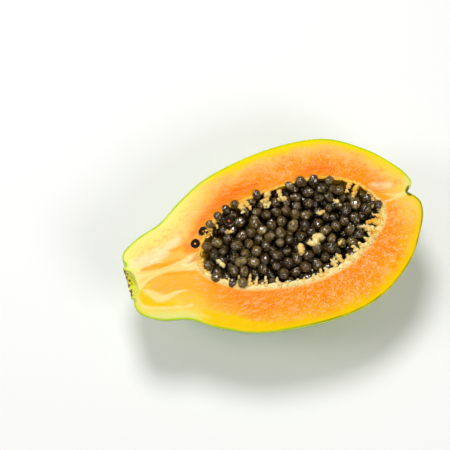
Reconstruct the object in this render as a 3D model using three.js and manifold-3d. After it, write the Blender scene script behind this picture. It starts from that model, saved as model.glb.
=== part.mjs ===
// Half of a ripe papaya, cut lengthwise through stem and blossom end and lying on its back, cut face up.
// The fruit half is one grown piece: skin, flesh, corky stem scar and blossom dimple. Its cavity holds
// a pale fibrous lining, the placenta, and on that the mass of dark seeds.
// Units are millimetres and +Z is up. While it is modelled, X runs from the stem end to the blossom end,
// the cut face is at Z = 0, and +Y is the narrower side. The last lines move the origin to the middle of
// the bounding box's underside, so that the fruit rests on Z = 0.
import * as THREE from "three";
import { mergeVertices } from "three/addons/utils/BufferGeometryUtils.js";
import Module from "manifold-3d";

const wasm = await Module();
wasm.setup();

// Outline of the cut face, as meridians of the whole fruit: [distance from the stem end, distance from
// the axis], on the narrower far side and on the fuller near side. The body between them is blended.
const SKIN_OUTLINE = [
  { at: "bottom of the stem hollow", far: [5.2, 0], near: [5.2, 0] },
  { at: "wall of the stem hollow", far: [4.5, 4.6], near: [4.7, 4.6] },
  { at: "crest of the corky rim", far: [0.9, 8.0], near: [0.3, 7.8] },
  { at: "groove outside the rim", far: [2.8, 9.8], near: [1.7, 9.6] },
  { at: "end of the neck", far: [1.9, 12.6], near: [0.5, 12.4] },
  { at: "round of the neck", far: [4.4, 17.2], near: [2.8, 18.4] },
  { at: "neck", far: [14.5, 22.0], near: [12.0, 24.4] },
  { at: "waist", far: [26.5, 25.5], near: [25.5, 28.5] },
  { at: "swelling below the waist", far: [42.0, 34.6], near: [39.5, 38.0] },
  { at: "upper belly", far: [61.0, 42.0], near: [61.0, 47.4] },
  { at: "widest", far: [93.0, 45.6], near: [96.0, 52.1] },
  { at: "lower belly", far: [122.0, 42.0], near: [122.0, 48.8] },
  { at: "taper", far: [142.0, 29.2], near: [143.5, 36.0] },
  { at: "blossom shoulder", far: [154.6, 14.8], near: [156.6, 18.6] },
  { at: "blossom lobe", far: [158.9, 6.2], near: [160.0, 8.8] },
  { at: "lip of the blossom dimple", far: [158.0, 2.7], near: [158.2, 3.4] },
  { at: "bottom of the blossom dimple", far: [155.0, 0], near: [155.0, 0] },
];

// The cavity in the flesh, as [distance from the stem end, distance from the cavity's own axis].
const CAVITY_AXIS_Y = -2;
const CAVITY_OUTLINE = [
  { at: "stem end of the cavity", far: [38.5, 0], near: [38.5, 0] },
  { at: "narrow end", far: [41.5, 7.5], near: [40.0, 6.0] },
  { at: "widening", far: [50.5, 18.0], near: [49.0, 14.4] },
  { at: "shoulder", far: [63.0, 24.6], near: [62.0, 21.6] },
  { at: "widest", far: [88.0, 27.0], near: [90.0, 27.4] },
  { at: "belly", far: [113.0, 25.4], near: [113.0, 25.0] },
  { at: "round end", far: [129.5, 17.4], near: [129.0, 17.0] },
  { at: "end shoulder", far: [137.5, 8.2], near: [138.6, 8.4] },
  { at: "blossom end of the cavity", far: [141.2, 0], near: [141.2, 0] },
];

// A papaya grows from five carpels, so its sections are faintly five-lobed: one lobe is underneath.
const CARPELS = 5;
const LOBE_ANGLE = Math.PI / 2;
const SKIN_LOBE = 0.008; // share of the radius, at the belly
const END_LOBE = 0.05; // share of the radius added towards the two ends
const CAVITY_LOBE = 0.07;

// Under the cut the blossom end is flatter: it is pulled in by this much between two places of the
// outline, which are shares of its length, so that at the cut only the far and near lobe stand out.
const BLOSSOM_TUCK = { depth: 3.6, starts: 0.75, full: 0.875, fades: 0.9125 };

const REST_SPOT_DEPTH = 1.3; // how far the flat resting spot lies inside the round back
const UNDER_BLOCK = [400, 400, 100]; // a block under the fruit, which cuts the spot flat

const CLEARANCE = 0.3; // between neighbouring pieces
const LINING = { far: 0.9, near: 1.9 }; // thickness on either side
// Torn fibres along the lining's rim, as teeth. They fade downwards within an angle, in radians, and
// towards the two ends of the cavity. The shortest has this share of the full length.
const TOOTH = { count: 21, far: 0.9, near: 2.4, fade: 0.35, shortest: 0.35, leftAtEnds: 0.5 };

const SEED = { length: 6.8, width: 5.7, spread: 0.08 }; // corner to corner of a faceted seed
const SEED_LAYER = {
  pitch: 5.35, // between neighbours, before they are shaken
  shake: 2.6,
  room: 5.15, // between two centres, once the seeds have pushed each other apart
  pushes: 20,
  rimMargin: 1.4, // between a centre and the lining at the cut
  level: -2.1, // height of the centres, where the cut face is 0
  lift: 1.8, // how much the heights differ
};
const SEED_HEAP = { x: 62, y: -6, radius: 24, height: 1.5 }; // piled up near the stem end
const SEED_PIT = { x: 112, y: 7, radius: 12, height: -4.2 }; // sunk where seeds have dropped out
const CORE = { inset: 4.2, level: -3.6 }; // the seeds below, as one mass that the upper layer stands out of
const WALL_ABOVE_CUT = 8; // how far the seeds' limiting wall is drawn up past the cut face
const SEED_DRAW = 7; // starts the repeatable random numbers of the seeds
const TOOTH_DRAW = 3; // the same for the torn fibres
const WELD = 1e-4; // points closer than this are one point

const SKIN_GRID = { rows: 50, columns: 20 };
const CAVITY_GRID = { rows: 60, columns: 12 };
const CORE_GRID = { rows: 14, columns: 6 };

const COLOURS = { flesh: 0xf39a2b, lining: 0xf0d9a0, seed: 0x2a2314 };

// Repeatable random numbers between 0 and 1.
function randomSource(state) {
  return () => {
    state = (state + 0x6d2b79f5) | 0;
    let mixed = Math.imul(state ^ (state >>> 15), 1 | state);
    mixed = (mixed + Math.imul(mixed ^ (mixed >>> 7), 61 | mixed)) ^ mixed;
    return ((mixed ^ (mixed >>> 14)) >>> 0) / 4294967296;
  };
}

// One side of an outline as a smooth curve in the plane of [along, out].
function sideCurve(outline, side) {
  return new THREE.SplineCurve(outline.map((p) => new THREE.Vector2(...p[side])));
}

// How an outline shrinks to one that runs inside it: both ends and the widest place move in by inset.
function shrinker(outline) {
  const middle = (outline[0].far[0] + outline.at(-1).far[0]) / 2;
  const halfLength = outline.at(-1).far[0] - middle;
  const widest = Math.max(...outline.map((p) => p.far[1]));
  return (point, inset) => ({
    along: middle + (point.x - middle) * (1 - inset / halfLength),
    out: point.y * (1 - inset / widest),
  });
}

// A grid of points on a half body of revolution whose meridian changes from far to near side.
// Rows run from the stem end to the blossom end. Columns turn from +Y, under the body, to -Y.
function bodyGrid(shape) {
  const { outline, rows, columns, lobe } = shape;
  const { axisY = 0, inset = () => 0, tuck = () => 0, gather = false } = shape;
  const far = sideCurve(outline, "far");
  const near = sideCurve(outline, "near");
  const shrunk = shrinker(outline);
  const grid = [];
  for (let i = 0; i <= rows; i++) {
    const even = i / rows;
    const t = i === rows ? 1 : (even + far.getUtoTmapping(even)) / 2;
    const row = [];
    for (let j = 0; j <= columns; j++) {
      const share = gather ? (1 - Math.cos((Math.PI * j) / columns)) / 2 : j / columns;
      const angle = Math.PI * share;
      const by = inset(t, i === 0 || i === rows ? Math.PI / 2 : angle);
      const a = shrunk(far.getPoint(t), by);
      const b = shrunk(near.getPoint(t), by);
      const farShare = (1 + Math.cos(angle)) / 2;
      const pulledIn = tuck(t) * Math.sin(angle) ** 2;
      const along = THREE.MathUtils.lerp(b.along, a.along, farShare) - pulledIn;
      const lobes = 1 + lobe(t) * Math.cos(CARPELS * (angle - LOBE_ANGLE));
      const out = THREE.MathUtils.lerp(b.out, a.out, farShare) * lobes;
      const depth = j === 0 || j === columns ? 0 : out * Math.sin(angle);
      row.push(new THREE.Vector3(along, axisY + out * Math.cos(angle), -depth));
    }
    grid.push(row);
  }
  return grid;
}

// Triangles over a grid. They face away from the body's axis, or towards it.
function gridTriangles(grid, outwards) {
  const triangles = [];
  for (let i = 0; i + 1 < grid.length; i++) {
    for (let j = 0; j + 1 < grid[i].length; j++) {
      const corners = [grid[i][j], grid[i + 1][j], grid[i + 1][j + 1], grid[i][j + 1]];
      const [a, b, c, d] = outwards ? corners : corners.reverse();
      triangles.push([a, b, c], [a, c, d]);
    }
  }
  return triangles;
}

// The closed line of a grid's edge in the cut plane, anticlockwise from above.
function rimOf(grid) {
  const last = grid[0].length - 1;
  const far = grid.map((row) => row[0]);
  const near = grid.map((row) => row[last]);
  return [...near, ...far.slice(1, -1).reverse()];
}

// A flat face between an outer rim and any inner rims, at the rims' own height, facing up.
function faceTriangles(outer, ...inner) {
  const points = [outer, ...inner.map((rim) => [...rim].reverse())];
  const flat = points.map((rim) => rim.map((p) => new THREE.Vector2(p.x, p.y)));
  const all = points.flat();
  return THREE.ShapeUtils.triangulateShape(flat[0], flat.slice(1)).map((f) => f.map((k) => all[k]));
}

// A vertical wall that stands on a rim, facing outwards.
function wallTriangles(rim, height) {
  const raised = rim.map((p) => new THREE.Vector3(p.x, p.y, height));
  const triangles = rim.flatMap((p, i) => {
    const k = (i + 1) % rim.length;
    return [
      [p, rim[k], raised[k]],
      [p, raised[k], raised[i]],
    ];
  });
  return { triangles, raised };
}

function geometryOf(triangles) {
  const points = triangles.flat().flatMap((p) => [p.x, p.y, p.z]);
  const loose = new THREE.BufferGeometry();
  loose.setAttribute("position", new THREE.Float32BufferAttribute(points, 3));
  return mergeVertices(loose, WELD);
}

function solidOf(geometry) {
  const bare = geometry.clone();
  bare.deleteAttribute("normal");
  bare.deleteAttribute("uv");
  const merged = mergeVertices(bare, WELD);
  const vertProperties = merged.attributes.position.array;
  return new wasm.Manifold(
    new wasm.Mesh({ numProp: 3, vertProperties, triVerts: new Uint32Array(merged.index.array) }),
  );
}

function geometryFromSolid(solid) {
  const mesh = solid.getMesh();
  const geometry = new THREE.BufferGeometry();
  geometry.setAttribute("position", new THREE.BufferAttribute(new Float32Array(mesh.vertProperties), 3));
  geometry.setIndex(new THREE.BufferAttribute(new Uint32Array(mesh.triVerts), 1));
  const shaded = geometry.toNonIndexed();
  shaded.computeVertexNormals();
  return shaded;
}

function namedMesh(name, geometry, color, roughness) {
  const mesh = new THREE.Mesh(geometry, new THREE.MeshStandardMaterial({ color, roughness, metalness: 0 }));
  mesh.name = name;
  return mesh;
}

// Share of the way to the nearer end, squared, so that it grows only close to the ends.
function endShare(t) {
  return (2 * t - 1) ** 2;
}

// How far the skin is pulled in underneath, near the blossom end.
function blossomTuck(t) {
  const { depth, starts, full, fades } = BLOSSOM_TUCK;
  const grown = THREE.MathUtils.smoothstep(t, starts, full);
  return depth * grown * (1 - THREE.MathUtils.smoothstep(t, fades, 1));
}

function skinGrid() {
  return bodyGrid({
    outline: SKIN_OUTLINE,
    ...SKIN_GRID,
    lobe: (t) => SKIN_LOBE + END_LOBE * endShare(t) ** 3,
    tuck: blossomTuck,
  });
}

// A surface parallel to the cavity's wall, inside it by inset.
function cavityGrid(inset) {
  return bodyGrid({
    outline: CAVITY_OUTLINE,
    ...CAVITY_GRID,
    axisY: CAVITY_AXIS_Y,
    lobe: () => CAVITY_LOBE,
    inset,
    gather: true,
  });
}

// Each tooth of the lining's rim has a length of its own.
function drawToothLengths() {
  const random = randomSource(TOOTH_DRAW);
  return Array.from({ length: TOOTH.count + 1 }, () => THREE.MathUtils.lerp(TOOTH.shortest, 1, random()));
}
const toothLengths = drawToothLengths();

// Thickness of the lining at t along the cavity and at an angle round it, with the teeth on its rim.
function liningThickness(t, angle) {
  const nearShare = (1 - Math.cos(angle)) / 2;
  const belowRim = Math.min(angle, Math.PI - angle);
  const place = t * TOOTH.count + (nearShare > 0.5 ? 0.5 : 0);
  const tooth = Math.sin(Math.PI * (place % 1)) * toothLengths[Math.floor(place)];
  const reach = THREE.MathUtils.lerp(TOOTH.far, TOOTH.near, nearShare);
  const atEnds = THREE.MathUtils.lerp(1, TOOTH.leftAtEnds, endShare(t));
  const rim = tooth * reach * atEnds * Math.exp(-belowRim / TOOTH.fade);
  return THREE.MathUtils.lerp(LINING.far, LINING.near, nearShare) + rim;
}

// Skin, flesh, stem scar and blossom dimple, with the cavity open at the cut face.
function fruitHalf(backDepth) {
  const skin = skinGrid();
  const cavity = cavityGrid(() => 0);
  const triangles = [
    ...gridTriangles(skin, true),
    ...gridTriangles(cavity, false),
    ...faceTriangles(rimOf(skin), rimOf(cavity)),
  ];
  const below = new THREE.BoxGeometry(...UNDER_BLOCK);
  below.translate(0, 0, REST_SPOT_DEPTH - backDepth - UNDER_BLOCK[2] / 2);
  return solidOf(geometryOf(triangles)).subtract(solidOf(below));
}

function placenta() {
  const outside = cavityGrid(() => CLEARANCE);
  const inside = cavityGrid((t, angle) => CLEARANCE + liningThickness(t, angle));
  return solidOf(
    geometryOf([
      ...gridTriangles(outside, true),
      ...gridTriangles(inside, false),
      ...faceTriangles(rimOf(outside), rimOf(inside)),
    ]),
  );
}

// The room that the lining leaves for the seeds, drawn up past the cut face.
function seedRoom() {
  const wall = cavityGrid((t, angle) => 2 * CLEARANCE + liningThickness(t, angle));
  const { triangles, raised } = wallTriangles(rimOf(wall), WALL_ABOVE_CUT);
  return solidOf(geometryOf([...gridTriangles(wall, true), ...triangles, ...faceTriangles(raised)]));
}

// A smooth hump or hollow, which is gone a little past its radius.
function bump({ x, y, radius, height }, px, py) {
  return height * Math.exp(-((px - x) ** 2 + (py - y) ** 2) / (radius * radius));
}

function heapHeight(x, y) {
  return bump(SEED_HEAP, x, y) + bump(SEED_PIT, x, y);
}

// The mass of seeds below the upper layer. Its top follows the heap and the pit.
function seedCore() {
  const bowl = bodyGrid({
    outline: CAVITY_OUTLINE,
    ...CORE_GRID,
    axisY: CAVITY_AXIS_Y,
    lobe: () => 0,
    inset: () => CORE.inset,
  });
  const last = CORE_GRID.columns;
  const top = bowl.map((row) =>
    row.map((p, j) => {
      const y = THREE.MathUtils.lerp(row[0].y, row[last].y, j / last);
      const x = THREE.MathUtils.lerp(row[0].x, row[last].x, j / last);
      return new THREE.Vector3(x, y, CORE.level + heapHeight(x, y));
    }),
  );
  const sunk = bowl.map((row, i) =>
    row.map((p, j) => (j === 0 || j === last ? top[i][j] : new THREE.Vector3(p.x, p.y, p.z + CORE.level))),
  );
  return solidOf(geometryOf([...gridTriangles(sunk, true), ...gridTriangles(top, false)]));
}

// Distance from a point to the closed line of a rim, negative outside it.
function depthInside(rim, x, y) {
  let inside = false;
  let nearest = Infinity;
  rim.forEach((a, i) => {
    const b = rim[(i + 1) % rim.length];
    if (a.y > y !== b.y > y && x < a.x + ((b.x - a.x) * (y - a.y)) / (b.y - a.y)) inside = !inside;
    const edge = { x: b.x - a.x, y: b.y - a.y };
    const along = ((x - a.x) * edge.x + (y - a.y) * edge.y) / (edge.x ** 2 + edge.y ** 2);
    const share = THREE.MathUtils.clamp(along, 0, 1);
    nearest = Math.min(nearest, Math.hypot(a.x + edge.x * share - x, a.y + edge.y * share - y));
  });
  return inside ? nearest : -nearest;
}

// Moves every two places that are closer than room away from each other, each by half of what is missing.
function pushApart(places, room) {
  const shift = new THREE.Vector2();
  places.forEach((a, i) => {
    for (let k = i + 1; k < places.length; k++) {
      const b = places[k];
      const gap = a.distanceTo(b);
      if (gap >= room) continue;
      shift.subVectors(a, b).multiplyScalar((room - gap) / (2 * gap));
      a.add(shift);
      b.sub(shift);
    }
  });
}

// Places of the upper seeds: a triangular pattern, shaken by a seeded draw, whose seeds then push each
// other apart until few of them are closer than their size allows.
function seedPlaces(random) {
  const rim = rimOf(cavityGrid(() => LINING.far + 2 * CLEARANCE));
  const box = new THREE.Box3().setFromPoints(rim);
  const { pitch, shake, room, pushes, rimMargin, level, lift } = SEED_LAYER;
  const rowPitch = pitch * Math.sin(Math.PI / 3);
  const places = [];
  for (let row = 0, y = box.min.y; y < box.max.y; row++, y += rowPitch) {
    for (let x = box.min.x + (row % 2) * (pitch / 2); x < box.max.x; x += pitch) {
      const px = x + (random() - 0.5) * shake;
      const py = y + (random() - 0.5) * shake;
      if (depthInside(rim, px, py) > 0) places.push(new THREE.Vector2(px, py));
    }
  }
  for (let push = 0; push < pushes; push++) pushApart(places, room);
  return places
    .filter((p) => depthInside(rim, p.x, p.y) > rimMargin)
    .map((p) => new THREE.Vector3(p.x, p.y, level + heapHeight(p.x, p.y) + (random() - 0.5) * lift));
}

function seeds() {
  const random = randomSource(SEED_DRAW);
  const pip = new THREE.IcosahedronGeometry(0.5);
  const solids = seedPlaces(random).map((place) => {
    const size = 1 + (random() - 0.5) * 2 * SEED.spread;
    const turn = new THREE.Euler(random() * Math.PI, random() * Math.PI, random() * Math.PI);
    const width = SEED.width * size;
    const matrix = new THREE.Matrix4().compose(
      place,
      new THREE.Quaternion().setFromEuler(turn),
      new THREE.Vector3(width, SEED.length * size, width),
    );
    return solidOf(pip.clone().applyMatrix4(matrix));
  });
  const heap = wasm.Manifold.union([seedCore(), ...solids]).intersect(seedRoom());
  return heap.decompose().sort((a, b) => b.volume() - a.volume())[0];
}

const backDepth = -new THREE.Box3().setFromPoints(skinGrid().flat()).min.z;
const papaya = new THREE.Group();
papaya.add(namedMesh("papaya_half", geometryFromSolid(fruitHalf(backDepth)), COLOURS.flesh, 0.45));
papaya.add(namedMesh("placenta", geometryFromSolid(placenta()), COLOURS.lining, 0.6));
papaya.add(namedMesh("seeds", geometryFromSolid(seeds()), COLOURS.seed, 0.25));

const box = new THREE.Box3().setFromObject(papaya);
const middle = box.getCenter(new THREE.Vector3());
papaya.position.set(-middle.x, -middle.y, -box.min.z);

export default papaya;
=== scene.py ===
# %% [markdown]
# # Half a papaya, cut face up
#
# A papaya is a berry with a thin skin, soft flesh and one large cavity. The cavity is lined with the
# pale placenta, and several hundred dark seeds hang on it. This scene dresses the plain solids of such a
# half: it loads them as a fixed frame and replaces each with a fine mesh made by the same formulas, so
# that every piece stays where its solid is.

# %% Load the frame
import math
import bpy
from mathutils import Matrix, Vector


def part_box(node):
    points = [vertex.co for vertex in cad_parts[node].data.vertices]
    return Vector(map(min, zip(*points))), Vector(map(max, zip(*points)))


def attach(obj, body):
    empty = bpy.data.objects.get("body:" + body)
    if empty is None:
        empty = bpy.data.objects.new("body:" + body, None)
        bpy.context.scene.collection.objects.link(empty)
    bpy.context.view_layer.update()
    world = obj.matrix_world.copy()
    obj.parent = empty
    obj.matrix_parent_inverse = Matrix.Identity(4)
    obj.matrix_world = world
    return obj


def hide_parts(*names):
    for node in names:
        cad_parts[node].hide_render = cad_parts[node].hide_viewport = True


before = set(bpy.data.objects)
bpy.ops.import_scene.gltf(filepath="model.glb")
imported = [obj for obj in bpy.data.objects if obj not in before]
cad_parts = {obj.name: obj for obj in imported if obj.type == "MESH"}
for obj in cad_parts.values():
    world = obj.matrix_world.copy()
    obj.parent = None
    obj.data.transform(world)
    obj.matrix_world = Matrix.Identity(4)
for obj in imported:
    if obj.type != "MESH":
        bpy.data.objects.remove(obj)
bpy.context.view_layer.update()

from types import SimpleNamespace

import bmesh
import bpy
import numpy as np
from mathutils import Matrix, Vector, noise
from mathutils.kdtree import KDTree

MM = 0.001
HALF_LOW, HALF_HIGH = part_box("papaya_half")

# %% [markdown]
# ## The outlines
#
# Both the skin and the cavity are bodies whose outline differs a little between the narrow far side and
# the full near side. Each outline is a short list of places, as distance from the stem end and distance
# from the axis, and a Catmull-Rom curve runs through them. A spline through a dozen measured places is
# easier to correct than a sculpted mesh, and any fineness can be drawn from it.

# %% Outlines of skin and cavity, in millimetres
SKIN_OUTLINE = [
    ("bottom of the stem hollow", (5.2, 0), (5.2, 0)),
    ("wall of the stem hollow", (4.5, 4.6), (4.7, 4.6)),
    ("crest of the corky rim", (0.9, 8.0), (0.3, 7.8)),
    ("groove outside the rim", (2.8, 9.8), (1.7, 9.6)),
    ("end of the neck", (1.9, 12.6), (0.5, 12.4)),
    ("round of the neck", (4.4, 17.2), (2.8, 18.4)),
    ("neck", (14.5, 22.0), (12.0, 24.4)),
    ("waist", (26.5, 25.5), (25.5, 28.5)),
    ("swelling below the waist", (42.0, 34.6), (39.5, 38.0)),
    ("upper belly", (61.0, 42.0), (61.0, 47.4)),
    ("widest", (93.0, 45.6), (96.0, 52.1)),
    ("lower belly", (122.0, 42.0), (122.0, 48.8)),
    ("taper", (142.0, 29.2), (143.5, 36.0)),
    ("blossom shoulder", (154.6, 14.8), (156.6, 18.6)),
    ("blossom lobe", (158.9, 6.2), (160.0, 8.8)),
    ("lip of the blossom dimple", (158.0, 2.7), (158.2, 3.4)),
    ("bottom of the blossom dimple", (155.0, 0), (155.0, 0)),
]
CAVITY_AXIS_Y = -2.0
CAVITY_OUTLINE = [
    ("stem end of the cavity", (38.5, 0), (38.5, 0)),
    ("narrow end", (41.5, 7.5), (40.0, 6.0)),
    ("widening", (50.5, 18.0), (49.0, 14.4)),
    ("shoulder", (63.0, 24.6), (62.0, 21.6)),
    ("widest", (88.0, 27.0), (90.0, 27.4)),
    ("belly", (113.0, 25.4), (113.0, 25.0)),
    ("round end", (129.5, 17.4), (129.0, 17.0)),
    ("end shoulder", (137.5, 8.2), (138.6, 8.4)),
    ("blossom end of the cavity", (141.2, 0), (141.2, 0)),
]
FAR, NEAR = 1, 2
CARPELS = 5
SKIN_LOBE, END_LOBE, CAVITY_LOBE = 0.008, 0.05, 0.07
BLOSSOM_TUCK = 3.6
TUCK_STARTS, TUCK_FULL, TUCK_FADES = 0.75, 0.875, 0.9125
CURVE_SAMPLES, LINE_SAMPLES = 4001, 2001


def side_curve(outline, side, t):
    """Points [along, out] of one side of an outline, at t from 0 to 1."""
    places = np.array([row[side] for row in outline], float)
    last = len(places) - 1
    step = np.clip(np.asarray(t, float), 0, 1) * last
    i = np.minimum(step.astype(int), last - 1)
    w = (step - i)[..., None]
    before, start = places[np.maximum(i - 1, 0)], places[i]
    end, after = places[i + 1], places[np.minimum(i + 2, last)]
    rise, fall = (end - before) / 2, (after - start) / 2
    cubic = 2 * start - 2 * end + rise + fall
    square = -3 * start + 3 * end - 2 * rise - fall
    return ((cubic * w + square) * w + rise) * w + start


def body_points(outline, t, angle, axis_y=0.0, lobe=0.0, inset=0.0, tuck=0.0):
    """Points on a half body: angle 0 is the far side of the cut, pi the near side, pi/2 underneath."""
    far, near = side_curve(outline, FAR, t), side_curve(outline, NEAR, t)
    start, end = outline[0][FAR][0], outline[-1][FAR][0]
    middle = (start + end) / 2
    widest = max(row[FAR][1] for row in outline)
    share = (1 + np.cos(angle)) / 2
    along = near[..., 0] + (far[..., 0] - near[..., 0]) * share
    along = middle + (along - middle) * (1 - inset / (end - middle)) - tuck * np.sin(angle) ** 2
    out = near[..., 1] + (far[..., 1] - near[..., 1]) * share
    out = out * (1 - inset / widest) * (1 + lobe * np.cos(CARPELS * (angle - math.pi / 2)))
    return np.stack([along, axis_y + out * np.cos(angle), -out * np.sin(angle)], -1)


def even_steps(outline, count, crowd=lambda along: 1.0):
    """count + 1 values of t, evenly spaced along the outline, or closer where crowd is above 1."""
    t = np.linspace(0, 1, CURVE_SAMPLES)
    points = side_curve(outline, FAR, t)
    length = np.linalg.norm(np.diff(points, axis=0), axis=1)
    weight = length * np.array([crowd(x) for x in points[1:, 0]])
    reached = np.concatenate([[0], np.cumsum(weight)])
    return np.interp(np.linspace(0, reached[-1], count + 1), reached, t)


def end_share(t):
    """Share of the way to the nearer end, squared."""
    return (2 * t - 1) ** 2


cut_line = np.linspace(0, 1, LINE_SAMPLES)
far_line, near_line = side_curve(SKIN_OUTLINE, FAR, cut_line), side_curve(SKIN_OUTLINE, NEAR, cut_line)
own_low = np.array([min(far_line[:, 0].min(), near_line[:, 0].min()), -near_line[:, 1].max()])
own_high = np.array([max(far_line[:, 0].max(), near_line[:, 0].max()), far_line[:, 1].max()])
cad_middle = np.array(HALF_LOW[:2]) / MM / 2 + np.array(HALF_HIGH[:2]) / MM / 2
CUT_LEVEL = HALF_HIGH[2] / MM
TO_ROW = np.array([*(cad_middle - (own_low + own_high) / 2), CUT_LEVEL])
print("from the modelling frame to the row frame, mm:", TO_ROW.round(2))

# %% [markdown]
# ## The camera
#
# The half is seen from above, a little from its near side, with the stem end turned to the lower left.
# A camera is three directions and a place, so its matrix is written straight from the viewing angle.
# The point of the cut face that is aimed at doesn't lie in the middle of the picture, so the camera is
# turned a little past it. A turned camera suits the views from other sides better than a shifted lens.

# %% Camera
PICTURE = 450
LOOK_AZIMUTH, LOOK_ELEVATION = math.radians(-18.7), math.radians(76)
DISTANCE = 0.8975
FOCAL_PIXELS = 1715.6
AIM_POINT = np.array([78.7, -0.7, 0.0])
AIM_PIXEL = (270, 238)


def unit(vector):
    return vector / np.linalg.norm(vector)


def make_camera():
    a, e = LOOK_AZIMUTH, LOOK_ELEVATION
    back = np.array([math.sin(a) * math.cos(e), -math.cos(a) * math.cos(e), math.sin(e)])
    right = np.array([math.cos(a), math.sin(a), 0.0])
    up = np.cross(back, right)
    aside = PICTURE / 2 - AIM_PIXEL[0]
    below = PICTURE / 2 - AIM_PIXEL[1]
    turned_back = unit(back * FOCAL_PIXELS - right * aside + up * below)
    turned_right = unit(right - turned_back * right.dot(turned_back))
    turned_up = np.cross(turned_back, turned_right)
    data = bpy.data.cameras.new("camera")
    data.sensor_width = 36
    data.lens = data.sensor_width * FOCAL_PIXELS / PICTURE
    data.clip_start, data.clip_end = 0.01, 20
    camera = bpy.data.objects.new("camera", data)
    bpy.context.collection.objects.link(camera)
    place = (AIM_POINT + TO_ROW) * MM + back * DISTANCE
    matrix = np.eye(4)
    matrix[:3, :3] = np.column_stack([turned_right, turned_up, turned_back])
    matrix[:3, 3] = place
    camera.matrix_world = Matrix(matrix.tolist())
    bpy.context.scene.camera = camera
    return camera


camera = make_camera()
print("lens, mm:", round(camera.data.lens, 1), "height, m:", round(camera.location.z, 3))

# %% [markdown]
# ## Helpers for meshes
#
# The bodies are grids of points. A grid needs few lines of code, its fineness is two numbers, and each
# point can carry values, such as its distance from the skin, that a material reads later. Patches that
# meet along a line are welded by their equal coordinates, so that the mesh is closed.

# %% Mesh helpers
WELD = 1e-3
NOISE_SHIFT = (17.3, 5.1, 9.7)
POINTS_AT_ONCE = 4000


def grid_faces(rows, columns, start=0):
    """Four-cornered faces over a grid of points that are numbered row by row."""
    i, j = np.meshgrid(np.arange(rows - 1), np.arange(columns - 1), indexing="ij")
    corner = (start + i * columns + j).ravel()
    return np.stack([corner, corner + columns, corner + columns + 1, corner + 1], -1)


def weld(points, faces, values, slots):
    """Joins equal points, drops corners that fell together, and keeps each point's first values."""
    keys = np.round(points / WELD).astype(np.int64)
    _, first, joined = np.unique(keys, axis=0, return_index=True, return_inverse=True)
    joined = joined.ravel()
    kept, kept_slots = [], []
    for face, slot in zip(joined[faces].tolist(), slots):
        corners = [c for k, c in enumerate(face) if c != face[k - 1]]
        if len(set(corners)) >= 3:
            kept.append(corners)
            kept_slots.append(slot)
    return points[first], kept, {name: value[first] for name, value in values.items()}, kept_slots


def make_piece(name, points, faces, values=None, slots=None, materials=()):
    """A smooth mesh object in the row frame, from points in millimetres in the modelling frame."""
    mesh = bpy.data.meshes.new(name)
    mesh.from_pydata(((points + TO_ROW) * MM).tolist(), [], [list(f) for f in faces])
    for label, value in (values or {}).items():
        kind = "FLOAT_VECTOR" if value.ndim == 2 else "FLOAT"
        layer = mesh.attributes.new(label, kind, "POINT")
        layer.data.foreach_set("vector" if value.ndim == 2 else "value", value.astype(np.float32).ravel())
    for material in materials:
        mesh.materials.append(material)
    if slots is not None:
        mesh.polygons.foreach_set("material_index", slots)
    mesh.polygons.foreach_set("use_smooth", [True] * len(mesh.polygons))
    shell = bmesh.new()
    shell.from_mesh(mesh)
    bmesh.ops.recalc_face_normals(shell, faces=shell.faces)
    shell.to_mesh(mesh)
    shell.free()
    piece = bpy.data.objects.new(name, mesh)
    bpy.context.collection.objects.link(piece)
    print(name, len(mesh.vertices), "points,", len(mesh.polygons), "faces")
    return piece


def smooth_step(value, low, high):
    """0 up to low, 1 from high, smooth between. Low may be the larger one."""
    share = np.clip((value - low) / (high - low), 0, 1)
    return share * share * (3 - 2 * share)


def noise_at(points, size, seed=0.0, octaves=1):
    """Smooth noise from -1 to 1 at points in millimetres, with waves about size millimetres long."""
    shift = Vector([seed * step for step in NOISE_SHIFT])
    scaled = (points / size).tolist()
    if octaves == 1:
        return np.array([noise.noise(Vector(p) + shift) for p in scaled])
    return np.array([noise.fractal(Vector(p) + shift, 0.8, 2.1, octaves) for p in scaled])


def distance_to_line(points, line):
    """Distance in the cut plane from each point to the nearest corner of a dense line."""
    nearest = np.full(len(points), np.inf)
    for start in range(0, len(points), POINTS_AT_ONCE):
        some = slice(start, start + POINTS_AT_ONCE)
        part = points[some, None, :2] - line[None, :, :2]
        nearest[some] = np.sqrt((part ** 2).sum(-1).min(1))
    return nearest


# %% [markdown]
# ## Helpers for materials
#
# Blender's materials are node trees. A few short functions add a node, multiply masks, paint one colour
# over another and run a value through a colour ramp, which is all that the finishes here need. Colours
# are written as they look on a screen and turned into the linear values that the shader wants. Tissue is
# given a little less than that, so that the scene's light brings it up to the colour that is meant.

# %% Colours
LIGHT_LEVEL = 1.05
BRIGHTEST = 0.93


def screen(red, green, blue):
    """A screen colour from 0 to 255 as the linear colour of a shader, with full alpha."""
    shares = [c / 255 for c in (red, green, blue)]
    linear = [c / 12.92 if c <= 0.04045 else ((c + 0.055) / 1.055) ** 2.4 for c in shares]
    return (*linear, 1.0)


def lit(red, green, blue):
    """A base colour that looks like this screen colour in the scene's light."""
    return (*[min(c / LIGHT_LEVEL, BRIGHTEST) for c in screen(red, green, blue)[:3]], 1.0)


MID_GREY = (128, 128, 128)
print("mid grey on a screen:", round(screen(*MID_GREY)[0], 3), "as lit tissue:", round(lit(*MID_GREY)[0], 3))


# %% Nodes and what they read
def fill(tree, node, inputs):
    """Fills a node's inputs: each gets a value, or a link from another node's output."""
    for name, value in inputs.items():
        if isinstance(value, bpy.types.NodeSocket):
            tree.links.new(value, node.inputs[name])
        else:
            node.inputs[name].default_value = value


def add(tree, kind, inputs=None, **settings):
    """Adds a node, makes its settings and fills its inputs."""
    made = tree.nodes.new(kind)
    for name, value in settings.items():
        setattr(made, name, value)
    fill(tree, made, inputs or {})
    return made


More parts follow.
